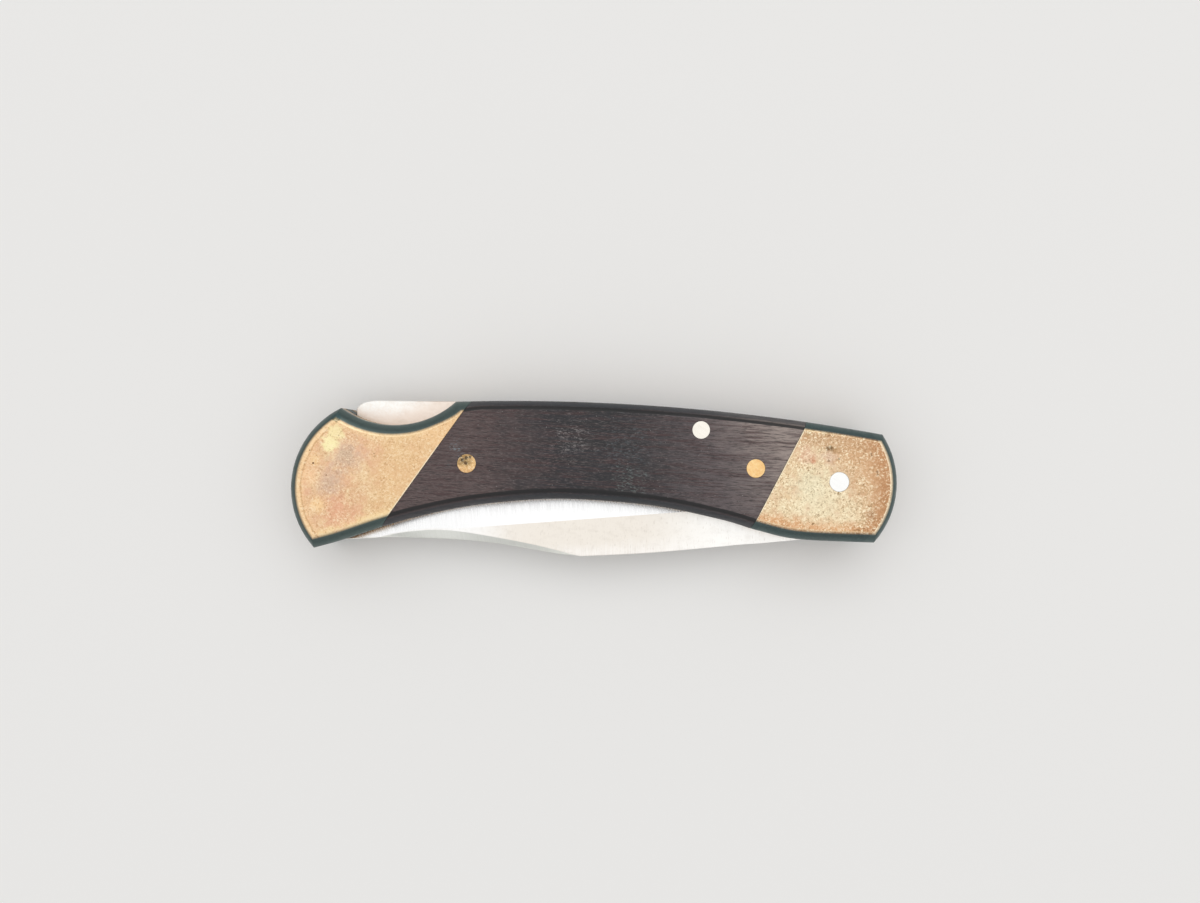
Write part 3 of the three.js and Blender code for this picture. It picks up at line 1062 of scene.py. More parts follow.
REAR_FADES = (
    Fade(-14.0, -47.0, -40.0, "#e6c191", 0.75),
    Fade(-73.5, -6.8, -5.3, "#f8dca8", 0.8, 1.4),
    # painted highlight: a thin bright line on the bolster along its seam with the scale
    Fade(-35.7, -30.02, -29.9, "#fdf0d4", 0.8, 0.0),
)
REAR_MARKS = (
    Mark(-29.8, 11.2, 5.6, "#ebc596", 1.0, 0.25),
    Mark(-50.3, 4.7, 5.0, "#d8baa4", 0.75, 0.9),
    Mark(-54.0, -0.4, 4.8, "#d8b89f", 0.7, 0.9),
    Mark(-52.0, -6.6, 6.0, "#e2a486", 0.6, 0.9),
    Mark(-48.5, -2.8, 3.4, "#d6a680", 0.5, 0.9),
    Mark(-50.2, 4.9, 2.6, "#c9ae94", 0.7, 0.9),
    Mark(-53.8, -1.2, 3.2, "#cdb29d", 0.55, 0.9),
    Mark(-57.8, 0.6, 3.0, "#f9cda0", 0.6, 0.9),
    Mark(-53.8, 7.2, 2.4, "#fbf0ba", 0.95, 0.6),
    Mark(-52.4, 9.5, 2.2, "#f6e5b0", 0.9, 0.5),
    Mark(-56.3, -5.2, 2.2, "#f8d39e", 0.7, 0.7),
    Mark(-56.8, 4.0, 1.6, "#f3cd97", 0.6, 0.7),
    Mark(-57.2, 3.3, 0.24, "#5b4128", 0.95, 0.4),
    Mark(-57.9, 5.9, 0.2, "#6b4a2c", 0.8, 0.4),
    Mark(-54.5, 0.83, 0.18, "#8a6447", 0.7, 0.4),
    # painted shade: widens the dark band on the rounded edge at the horn of the thumb notch
    Mark(-52.45, 12.95, 1.5, "#6f694d", 0.9, 0.4),
    Mark(-44.8, 5.2, 0.16, "#7a5638", 0.8, 0.4),
    Mark(-52.0, 8.9, 0.16, "#a08050", 0.8, 0.4),
)
# Painted shade: a dark teal patch on the liner and the spring, in the recess at the horn of the thumb
# notch
HORN_SHADE = (Mark(-50.2, 14.7, 4.4, "#46575a", 0.92, 0.5),)
FRONT_RIMS = (
    Rim(44.08, -0.84, 11.8, 15.7, "#c29067", 0.85),
    # a thin bright line along the flat face's rim at the front: polished brass, and a painted highlight
    Rim(44.08, -0.84, 16.22, 16.36, "#fbe6c6", 0.85, 0.2),
)
FRONT_FADES = (
    Fade(35.0, 36.0, 49.0, "#d0a37a", 0.85),
    Fade(85.0, 9.0, 12.2, "#c9a27c", 0.8, 3.0),
    Fade(-96.0, 2.2, 4.8, "#dca372", 0.78, 3.0),
    # painted highlight: a thin bright line on the bolster along its seam with the scale
    Fade(-27.8, 33.42, 33.3, "#fdf0d4", 0.8, 0.0),
)
FRONT_MARKS = (
    Mark(46.0, -3.5, 8.5, "#f0e2c0", 0.8, 0.9),
    Mark(44.1, -0.9, 5.0, "#dfd9ba", 0.45, 1.0),
    Mark(43.2, 4.9, 2.6, "#dfb398", 0.65, 0.8),
    Mark(44.5, 4.4, 0.9, "#cf9576", 0.6, 0.9),
    Mark(44.8, 3.6, 0.7, "#cb8a68", 0.7, 0.8),
    Mark(48.1, 4.6, 2.2, "#d9bda8", 0.6, 0.8),
    Mark(49.0, 5.95, 1.4, "#ad8559", 0.75, 0.9),
    Mark(47.7, 6.25, 0.7, "#7a5f41", 0.85, 0.7),
    Mark(48.35, 6.3, 0.7, "#745a3c", 0.9, 0.7),
    Mark(44.0, 10.5, 1.9, "#b5a072", 0.6, 0.8),
    Mark(47.0, 10.1, 1.7, "#bda67c", 0.5, 0.8),
    Mark(50.0, 4.15, 0.26, "#6b4a30", 0.9, 0.4),
    Mark(47.8, 3.7, 0.3, "#8a684a", 0.8, 0.5),
    Mark(43.7, 1.8, 0.26, "#8f7048", 0.8, 0.4),
    Mark(46.0, 1.2, 0.22, "#94764e", 0.8, 0.4),
    Mark(49.9, -2.85, 0.42, "#96774f", 0.8, 0.5),
    Mark(57.7, 1.5, 0.3, "#85603f", 0.8, 0.6),
    Mark(57.8, 0.9, 0.3, "#85603f", 0.8, 0.6),
    Mark(56.5, 5.2, 0.26, "#85603f", 0.75, 0.6),
    Mark(56.6, 4.8, 0.24, "#85603f", 0.75, 0.6),
    Mark(44.6, -9.1, 0.26, "#8b6a40", 0.8, 0.4),
    Mark(50.8, -4.2, 0.26, "#a07c52", 0.7, 0.4),
    Mark(50.7, -5.8, 0.24, "#a07c52", 0.7, 0.4),
    Mark(54.0, -3.0, 0.3, "#a27a52", 0.7, 0.5),
    Mark(56.4, -7.4, 1.3, "#ad8462", 0.5, 0.7),
)
GRIME = (
    Mark(-26.7, 4.1, 2.2, "#94794f", 0.8, 0.7),
    Mark(-26.86, 3.95, 0.5, "#3c342a", 0.9, 0.6),
    Mark(-26.0, 4.35, 0.46, "#3c342a", 0.9, 0.6),
    Mark(-25.3, 4.5, 0.4, "#4a4034", 0.85, 0.6),
    Mark(-26.2, 3.3, 0.46, "#4a4034", 0.85, 0.6),
    Mark(-27.1, 4.6, 0.4, "#4a4034", 0.85, 0.6),
)
# The wood's tone along its length, and a painted sheen towards the front end
WOOD_TONE_AND_SHEEN = (
    # the wood's own browner tone towards the rear end
    Fade(0.0, -6.0, -27.0, "#5a4846", 0.9, 20.0),
    # painted sheen over a purple-brown tone: greyer towards the front end
    Fade(8.0, 6.0, 27.0, "#5f5455", 0.9, 16.0),
    # painted sheen: paler still towards the front end
    Fade(24.0, 22.0, 41.0, "#a3948c", 0.9, 12.0),
)
SCUFFS = (
    Mark(-4.2, 8.3, 4.6, "#9a9492", 0.6, 0.8),
    Mark(7.0, 6.4, 6.5, "#5f676b", 0.45, 0.8),
    Mark(7.6, -0.4, 4.0, "#7e8a86", 0.5, 0.8),
    Mark(-27.4, 5.9, 2.3, "#7f8b8f", 0.75, 0.8),
    Mark(-29.6, 3.2, 1.0, "#4f5a5c", 0.6, 0.8),
    Mark(-10.0, 4.0, 4.6, "#7d6664", 0.35, 0.8),
)
# Painted shade and painted light on the blade's flat
FLAT_STEEL_SHADE_AND_LIGHT = (
    # painted shade: a greyer band along the flat
    Fade(94.3, -17.0, -12.6, "#f0e9df", 0.95, 4.0),
    # painted light: whiter towards the tip
    Fade(180.0, 15.0, 27.0, "#fdfcfa", 0.95, 4.0),
    # painted light: whiter towards the front bolster
    Fade(0.0, 8.0, 28.0, "#fffdf9", 1.0, 4.0),
)
# Painted shade: the lock bar turns beige towards its lower side and its lower front, where the handle
# shades it
BAR_PAINTED_SHADE = (
    Fade(-95.0, -11.8, -8.2, "#f1e0d2", 0.8, 2.5),
    Fade(-60.0, -34.5, -29.5, "#f1e0d2", 0.8, 2.5),
)


@dataclass
class Finishes:
    """The finishes of the knife's pieces."""

    bolster_brass: dict[tuple[Side, End], bpy.types.Material] = field(init=False)
    liner_brass: bpy.types.Material = field(init=False)
    pin_brass: bpy.types.Material = field(init=False)
    grimy_pin_brass: bpy.types.Material = field(init=False)
    wood: bpy.types.Material = field(init=False)
    pivot_steel: bpy.types.Material = field(init=False)
    pin_steel: bpy.types.Material = field(init=False)
    flat_steel: bpy.types.Material = field(init=False)
    hollow_steel: bpy.types.Material = field(init=False)
    swedge_steel: bpy.types.Material = field(init=False)
    bar_steel: bpy.types.Material = field(init=False)
    spring_steel: bpy.types.Material = field(init=False)

    def __post_init__(self) -> None:
        """Builds every material."""
        self.build_bolsters()
        self.liner_brass = HandWornBrass(
            name="rolled_brass_sheet_tarnished", pale="#a5824f", warm="#8a6639", pink="#74502f",
            cream="#c9a871", brown="#5e4526", pit="#4d3520", roughness=0.5, mottle=0.3, blotch_size=4.0,
            wear_and_light=WearAndLight(marks=HORN_SHADE, level=8.2),
        ).build()
        bright = {"pale": "#f9d69a", "warm": "#f4ca8a", "pink": "#eebd82", "mottle": 0.25}
        self.pin_brass = HandWornBrass(name="brass_rod_ground_flush", blotch_size=2.5, **bright).build()
        self.grimy_pin_brass = HandWornBrass(
            name="brass_rod_ground_flush_grimy", pale="#e9c48c", warm="#dcb07c", pink="#cf9c6c",
            blotch_size=2.5, wear_and_light=WearAndLight(marks=GRIME),
        ).build()
        wood_wear_and_light = WearAndLight(fades=WOOD_TONE_AND_SHEEN, edges=WOOD_EDGE_LINE_AND_REFLECTION)
        self.wood = OiledDarkwood(wear_and_light=wood_wear_and_light, scuffs=SCUFFS).build()
        self.pivot_steel = GroundSteel(
            name="steel_rod_ground_flush_bright", pale="#fbfbf9", grey="#f3f2ef", line_turn=35.0,
            line_length=2.5, line_width=0.12, roughness=0.3, stain_amount=0.03,
        ).build()
        self.pin_steel = GroundSteel(
            name="steel_rod_ground_flush", pale="#f7f2e8", grey="#ece5d8", line_turn=35.0,
            line_length=2.5, line_width=0.12, roughness=0.3,
        ).build()
        self.flat_steel = GroundSteel(
            name="stainless_steel_belt_ground", pale="#fcf8f3", grey="#f1ebe3", line_width=0.2,
            line_length=4.0, contrast=0.8, fleck_amount=0.25, wear_and_light=WearAndLight(fades=FLAT_STEEL_SHADE_AND_LIGHT),
        ).build()
        self.hollow_steel = GroundSteel(
            name="stainless_steel_hollow_ground", pale="#fafafa", grey="#f2f2f1", line_turn=84.0,
            roughness=0.25, relief=0.02, contrast=0.3, stain_amount=0.02,
        ).build()
        self.swedge_steel = GroundSteel(
            name="stainless_steel_false_edge", pale="#f5f6f0", grey="#eaebe4", line_turn=78.0,
            roughness=0.4, stain_amount=0.05,
        ).build()
        self.bar_steel = GroundSteel(
            name="stainless_steel_tumbled", pale="#fffefa", grey="#faf3e9", line_turn=28.0,
            line_length=0.5, line_width=0.4, roughness=0.42, stain="#cdbaa9", stain_amount=0.14,
            wear_and_light=WearAndLight(fades=BAR_PAINTED_SHADE),
        ).build()
        self.spring_steel = GroundSteel(
            name="spring_steel_hardened", pale="#a3a29f", grey="#77787a", line_turn=0.0,
            line_length=9.0, roughness=0.42, wear_and_light=WearAndLight(marks=HORN_SHADE, level=8.2),
        ).build()

    def build_bolsters(self) -> None:
        """Builds the brass of the four bolsters; the stains, and the painted shade at the horn, are the
        photographed side's.
        """
        name = "cast_brass_polished_hand_worn"
        rear = {"rims": REAR_RIMS, "fades": REAR_FADES, "edges": BRASS_EDGE_HIGHLIGHT_REFLECTION_AND_PATINA}
        front = {"rims": FRONT_RIMS, "fades": FRONT_FADES, "edges": BRASS_EDGE_HIGHLIGHT_REFLECTION_AND_PATINA}
        creamy = {
            "pale": "#ecd9b4", "warm": "#e4c8a1", "pink": "#deb999", "cream": "#fff3d4",
            "brown": "#8a6a49", "mottle": 0.85,
        }
        self.bolster_brass = {
            (Side.UPPER, End.REAR): HandWornBrass(name + "_rear", wear_and_light=WearAndLight(REAR_MARKS, **rear)).build(),
            (Side.LOWER, End.REAR): HandWornBrass(name + "_rear_underside", wear_and_light=WearAndLight(**rear)).build(),
            (Side.UPPER, End.FRONT): HandWornBrass(
                name + "_front", wear_and_light=WearAndLight(FRONT_MARKS, **front), **creamy
            ).build(),
            (Side.LOWER, End.FRONT): HandWornBrass(
                name + "_front_underside", wear_and_light=WearAndLight(**front), **creamy
            ).build(),
        }


# The knife's parts


@dataclass
class HandleOutline:
    """The side view of the handle, anticlockwise from its front lower corner."""

    front_bottom: Point = (7.6, -12.6)
    front_top: Point = (9.4, 9.73)
    notch_front: Point = (-78.5, 16.5)
    notch_peak: Point = (-102.15, 15.2)
    toe: Point = (-107.7, -13.62)
    front_bulge: float = 3.83
    back_bulge: float = 2.3
    notch_depth: float = 4.15
    butt_bulge: float = 7.31
    belly: tuple[Point, ...] = (
        (-101.87, -12.03),
        (-93.87, -9.37),
        (-85.67, -7.07),
        (-73.38, -4.72),
        (-56.98, -3.57),
        (-38.53, -4.9),
        (-24.18, -7.75),
        (-15.99, -10.15),
        (-7.79, -11.9),
    )
    steps: tuple[int, ...] = (16, 58, 18, 23, 80)
    edge_shares: tuple[float, ...] = (1.0, 1.08, 1.39, 1.08, 1.34)
    fineness: int = 120
    back_fineness: int = 200

    def sides(self) -> list[list[Vector]]:
        """The five sides as fine lines.

        Returns:
            Front, back, thumb notch, butt and belly, each with both its ends.
        """
        arcs = (
            (self.front_bottom, self.front_top, self.front_bulge),
            (self.front_top, self.notch_front, self.back_bulge),
            (self.notch_front, self.notch_peak, -self.notch_depth),
            (self.notch_peak, self.toe, self.butt_bulge),
        )
        lines = [
            [*arc_through(start, end, bulge, self.fineness), Vector(end)] for start, end, bulge in arcs
        ]
        return [*lines, smooth_line((self.toe, *self.belly, self.front_bottom))]

    def ring(self, inset: float = 0.0) -> list[Vector]:
        """Points of the whole outline, about 1.4 mm apart.

        Args:
            inset: how far it lies inwards; each side moves by its own share of this.

        Returns:
            The points.
        """
        sides = self.sides()
        if inset > 0:
            sides = [moved_left(side, inset * share) for side, share in zip(sides, self.edge_shares)]
            for i in range(len(sides)):
                following = (i + 1) % len(sides)
                sides[i], sides[following] = trim_corner(sides[i], sides[following])
        return [point for side, steps in zip(sides, self.steps) for point in even_steps(side, steps)]

    def back_height(self) -> Callable[[float], float]:
        """The height of the back as a function of x."""
        line = arc_through(self.front_top, self.notch_front, self.back_bulge, self.back_fineness)
        return height_along([*reversed(line)])


@dataclass
class Pin:
    """A pin: its name, place, diameter, the levels between which it runs, and its finish."""

    name: str
    x: float
    y: float
    diameter: float
    low: float
    high: float
    material: bpy.types.Material
    slot: str
    gap: float = 0.03


@dataclass
class Pins:
    """The pins that hold the handle together, ground flush with its faces."""

    finishes: Finishes
    pivot_diameter: float = 4.0
    bar_diameter: float = 3.6
    scale_diameter: float = 3.8
    butt_diameter: float = 3.0
    front_scale: Point = (-17.01, 2.75)
    rear_scale: Point = (-75.97, 3.77)
    upper_butt: Point = (-105.6, 4.4)
    lower_butt: Point = (-105.2, -5.2)
    hidden_gap: float = 0.004

    def all(self) -> list[Pin]:
        """Every pin.

        Returns:
            The pins.
        """
        f = self.finishes
        foot, top = node_levels("blade_pivot_pin")
        through = {"low": foot, "high": top}
        pivot = {"material": f.pivot_steel, "slot": "pin_steel"}
        steel = {"material": f.pin_steel, "slot": "pin_steel"}
        rear_brass = f.bolster_brass[Side.UPPER, End.REAR]
        plain = {"material": rear_brass, "slot": "bolster_brass", "gap": self.hidden_gap}
        made = [
            Pin("blade_pivot_pin", 0.0, 0.0, self.pivot_diameter, **through, **pivot),
            Pin("lock_bar_pin", BAR_PIVOT.x, BAR_PIVOT.y, self.bar_diameter, **through, **steel),
            Pin("butt_pin_upper", *self.upper_butt, self.butt_diameter, **through, **plain),
            Pin("butt_pin_lower", *self.lower_butt, self.butt_diameter, **through, **plain),
        ]
        scale_pins = (
            (End.FRONT, self.front_scale, f.pin_brass),
            (End.REAR, self.rear_scale, f.grimy_pin_brass),
        )
        for side in Side:
            for end, place, brass in scale_pins:
                name = f"{side.value}_{end.value}_scale_pin"
                made.append(Pin(name, *place, self.scale_diameter, *node_levels(name), brass, "pin_brass"))
        return made

    def holes(self, words: Sequence[str]) -> list[Hole]:
        """The holes for the pins whose names hold one of the words.

        Args:
            words: parts of pin names.

        Returns:
            The holes, each once.
        """
        pins = [pin for pin in self.all() if any(word in pin.name for word in words)]
        return list({Hole(pin.x, pin.y, pin.diameter / 2 + pin.gap) for pin in pins})

    def build(self) -> None:
        """Builds the pins, with softened rims where they show against another metal."""
        for pin in self.all():
            bm = rod(pin.x, pin.y, pin.diameter / 2, pin.low, pin.high)
            soften_faces(bm, pin.low, pin.high, pin.gap * 2, steps=2)
            piece = make_piece(pin.name + "_rod", bm, [pin.material])
            shade(piece)
            place(piece, "handle", pin.name, pin.slot)


@dataclass
class HandleSide:
    """One side of the handle: its liner, its two bolsters and its scale."""

    side: Side
    outline: HandleOutline
    pins: Pins
    finishes: Finishes
    round_radius: float = 2.76
    round_break: float = 22.0
    round_steps: int = 9
    rim_width: float = 0.08
    seam_break: float = 0.05
    front_seam: float = -12.83
    front_lean: float = 27.8
    rear_seam: float = -87.01
    rear_lean: float = 35.7
    seam_gap: float = 0.015
    liner_chamfer: float = 0.16
    eased_way: Point = (0.2, -0.6)
    eased_reach: float = 6.5

    def __post_init__(self) -> None:
        """Works out the levels of the inner and the outer face, and the way outwards."""
        low, high = node_levels(f"{self.side.value}_scale")
        upper = self.side is Side.UPPER
        self.inner, self.outer, self.way = (low, high, 1) if upper else (high, low, -1)

    def seam(self, x: float, lean: float, way: int) -> tuple[Vector, Vector]:
        """A seam plane, moved a hair towards the piece that is cut.

        Args:
            x: where the seam crosses the pivot's level, in millimetres.
            lean: its lean from the vertical in degrees.
            way: 1 where the piece in front of the seam goes, -1 where the one behind goes.

        Returns:
            A point on the plane and its normal, towards what goes.
        """
        angle = math.radians(lean)
        normal = Vector((math.cos(angle), -math.sin(angle), 0)) * way
        point = Vector(in_frame(x, 0.0, 0.0)) - normal * (self.seam_gap * MM)
        return point, normal

    def slab(self) -> bmesh.types.BMesh:
        """The whole side with its softened outer edge, before the seams are cut.

        The edge is rounded as on a belt: a quarter round whose top the flat face cuts off,
        with a narrow bright rim where the two meet.

        Returns:
            The side's mesh.
        """
        break_angle = math.radians(self.round_break)
        rim_drop = self.rim_width * math.tan(break_angle / 2)
        shoulder = self.round_radius * math.cos(break_angle) + rim_drop
        rings = [(self.outline.ring(), self.inner)]
        for i in range(self.round_steps + 1):
            turn = (math.pi / 2 - break_angle) * i / self.round_steps
            inset = self.round_radius * (1 - math.cos(turn))
            depth = shoulder - self.round_radius * math.sin(turn)
            rings.append((self.outline.ring(inset), self.outer - self.way * depth))
        rings.append((self.outline.ring(inset + self.rim_width), self.outer))
        bm = loft(rings)
        self.ease_corner(bm, shoulder)
        return bm

    def ease_corner(self, bm: bmesh.types.BMesh, shoulder: float) -> None:
        """Moves the flat face back where the thumb notch runs out into the back.

        Args:
            bm: the side's mesh.
            shoulder: depth of the rounded edge in millimetres.
        """
        corner = Vector(self.outline.notch_front) + PIVOT.xy
        for vert in bm.verts:
            rise = max(1 - (self.outer - vert.co.z / MM) * self.way / shoulder, 0.0)
            near = 1 - smooth_share((vert.co.xy / MM - corner).length, 0.0, self.eased_reach)
            shift = Vector(self.eased_way) * (rise * near * MM)
            vert.co += shift.to_3d()

    def break_seam(self, bm: bmesh.types.BMesh, point: Vector, normal: Vector) -> None:
        """Breaks the sharp edge along a cut seam.

        Args:
            bm: the mesh.
            point: a point on the seam.
            normal: the seam's normal.
        """

        def on_seam(vert: bmesh.types.BMVert) -> bool:
            """Whether a vertex lies on the seam, off the face that lies on the liner."""
            off_inner = abs(vert.co.z - self.inner * MM) > SEAM_NEAR
            return off_inner and abs((vert.co - point).dot(normal)) < SEAM_NEAR

        edges = [edge for edge in bm.edges if all(on_seam(vert) for vert in edge.verts)]
        soften(bm, edges, self.seam_break, steps=1)
        # The bevel leaves a face of no area where the seam runs out into the rounded edge
        bmesh.ops.dissolve_degenerate(bm, edges=bm.edges, dist=SEAM_NEAR)

    def build(self) -> None:
        """Builds the four pieces."""
        brass = self.finishes.bolster_brass
        front, rear = (self.front_seam, self.front_lean), (self.rear_seam, self.rear_lean)
        scale_cuts = [self.seam(*front, 1), self.seam(*rear, -1)]
        front_brass, rear_brass = brass[self.side, End.FRONT], brass[self.side, End.REAR]
        parts = {
            "scale": (scale_cuts, self.finishes.wood, ["scale_pin", "lock_bar_pin"]),
            "front_bolster": ([self.seam(*front, -1)], front_brass, ["pivot_pin"]),
            "rear_bolster": ([self.seam(*rear, 1)], rear_brass, ["butt_pin"]),
        }
        for part, (cuts, material, pin_words) in parts.items():
            name = f"{self.side.value}_{part}"
            slot = "wood" if part == "scale" else "bolster_brass"
            low, high = node_levels(name)
            bm = self.slab()
            for point, normal in cuts:
                cut_away(bm, point, normal)
                self.break_seam(bm, point, normal)
            pierce(bm, self.pins.holes(pin_words), low, high)
            piece = make_piece(name + "_shell", bm, [material])
            shade(piece)
            place(piece, "handle", name, slot)
        self.build_liner()

    def build_liner(self) -> None:
        """Builds the liner, a brass sheet with broken edges."""
        name = f"{self.side.value}_liner"
        low, high = node_levels(name)
        bm = prism(self.outline.ring(), low, high)
        soften_faces(bm, low, high, self.liner_chamfer, steps=2)
        pierce(bm, self.pins.holes(["_pin"]), low, high)
        piece = make_piece(name + "_sheet", bm, [self.finishes.liner_brass])
        shade(piece)
        place(piece, "handle", name, "liner_brass")


@dataclass
class LockBar:
    """The rocking lock bar: a long lever with a boss at its pin and a tooth at its nose."""

    outline: HandleOutline
    finishes: Finishes
    rear_x: float = -100.2
    rear_height: float = 17.07
    level_x: float = -70.0
    depth: float = 6.0
    neck: float = 4.6
    boss_radius: float = 3.5
    boss_drop: float = 2.5
    boss_gap: float = 0.6
    end_length: float = 4.9
    end_drop: float = 2.6
    end_fullness: float = 0.8
    tooth_front: float = 0.8
    tooth_rear: float = 2.6
    tooth_height: float = 1.3
    hook_radius: float = 8.12
    hole_radius: float = 1.86
    edge_round: float = 0.28
    top_steps: int = 70
    end_steps: int = 24
    under_steps: int = 50
    boss_steps: int = 12
    neck_steps: int = 12
    tooth_steps: int = 8

    def __post_init__(self) -> None:
        """Works out the line of the handle's back."""
        self.back = self.outline.back_height()

    def top(self, x: float) -> float:
        """Height of the bar's top, which leaves the line of the back in the thumb notch.

        Args:
            x: the place, in millimetres from the blade pivot.

        Returns:
            The height there.
        """
        if x > self.level_x:
            return self.back(x)
        share = (self.level_x - x) / (self.level_x - self.rear_x)
        level = self.back(self.level_x)
        return level + share * (self.rear_height - level)

    def hook(self, x: float) -> Vector:
        """A point of the tooth's hollow end, which clears the tang's rim."""
        return Vector((x, math.sqrt(self.hook_radius**2 - x * x)))

    def run(self, start: float, end: float, depth: float, steps: int) -> list[Vector]:
        """Points at a depth below the bar's top, both ends included.

        Args:
            start: first x.
            end: last x.
            depth: depth below the top.
            steps: number of steps.

        Returns:
            The points.
        """
        xs = [start + (end - start) * i / steps for i in range(steps + 1)]
        return [Vector((x, self.top(x) - depth)) for x in xs]

    def shape(self) -> list[Vector]:
        """The bar's side view, from its nose along the top to the rear end and back below.

        Returns:
            The points of its outline.
        """
        turn_x = self.rear_x + self.end_length
        end = []
        for p in arc_about((0, 0), 1.0, 90, 180, self.end_steps)[1:]:
            back, up = abs(p.x) ** self.end_fullness, abs(p.y) ** self.end_fullness
            drop = (1 - up) * self.end_drop
            end.append(Vector((turn_x - back * self.end_length, self.top(turn_x) - drop)))
        sweep = math.degrees(math.acos(self.boss_drop / self.boss_radius))
        boss = arc_about(BAR_PIVOT.xy, self.boss_radius, 270 - sweep, 270 + sweep, self.boss_steps)
        boss_rear, boss_front = boss[0].x - self.boss_gap, boss[-1].x + self.boss_gap
        neck_front = -2 * self.tooth_rear - self.tooth_height
        tooth_length = self.tooth_rear + self.tooth_front
        tooth = [
            self.hook(-self.tooth_rear + tooth_length * i / self.tooth_steps)
            for i in range(self.tooth_steps + 1)
        ]
        return [
            *self.run(self.tooth_front, turn_x, 0.0, self.top_steps),
            *end,
            Vector((self.rear_x, self.top(self.rear_x) - self.depth + self.tooth_height)),
            *self.run(self.rear_x + self.tooth_height, boss_rear, self.depth, self.under_steps),
            *boss,
            *self.run(boss_front, neck_front, self.neck, self.neck_steps),
            self.hook(-self.tooth_rear) + Vector((0, self.tooth_height)),
            *tooth,
        ]

    def build(self) -> None:
        """Builds the bar with softened edges and its pin hole."""
        low, high = node_levels("lock_bar")
        bm = prism(self.shape(), low, high)
        soften_faces(bm, low, high, self.edge_round, steps=3)
        pierce(bm, [Hole(BAR_PIVOT.x, BAR_PIVOT.y, self.hole_radius)], low, high)
        piece = make_piece("lock_bar_lever", bm, [self.finishes.bar_steel])
        shade(piece)
        place(piece, "lock_bar", "lock_bar", "bar_steel")


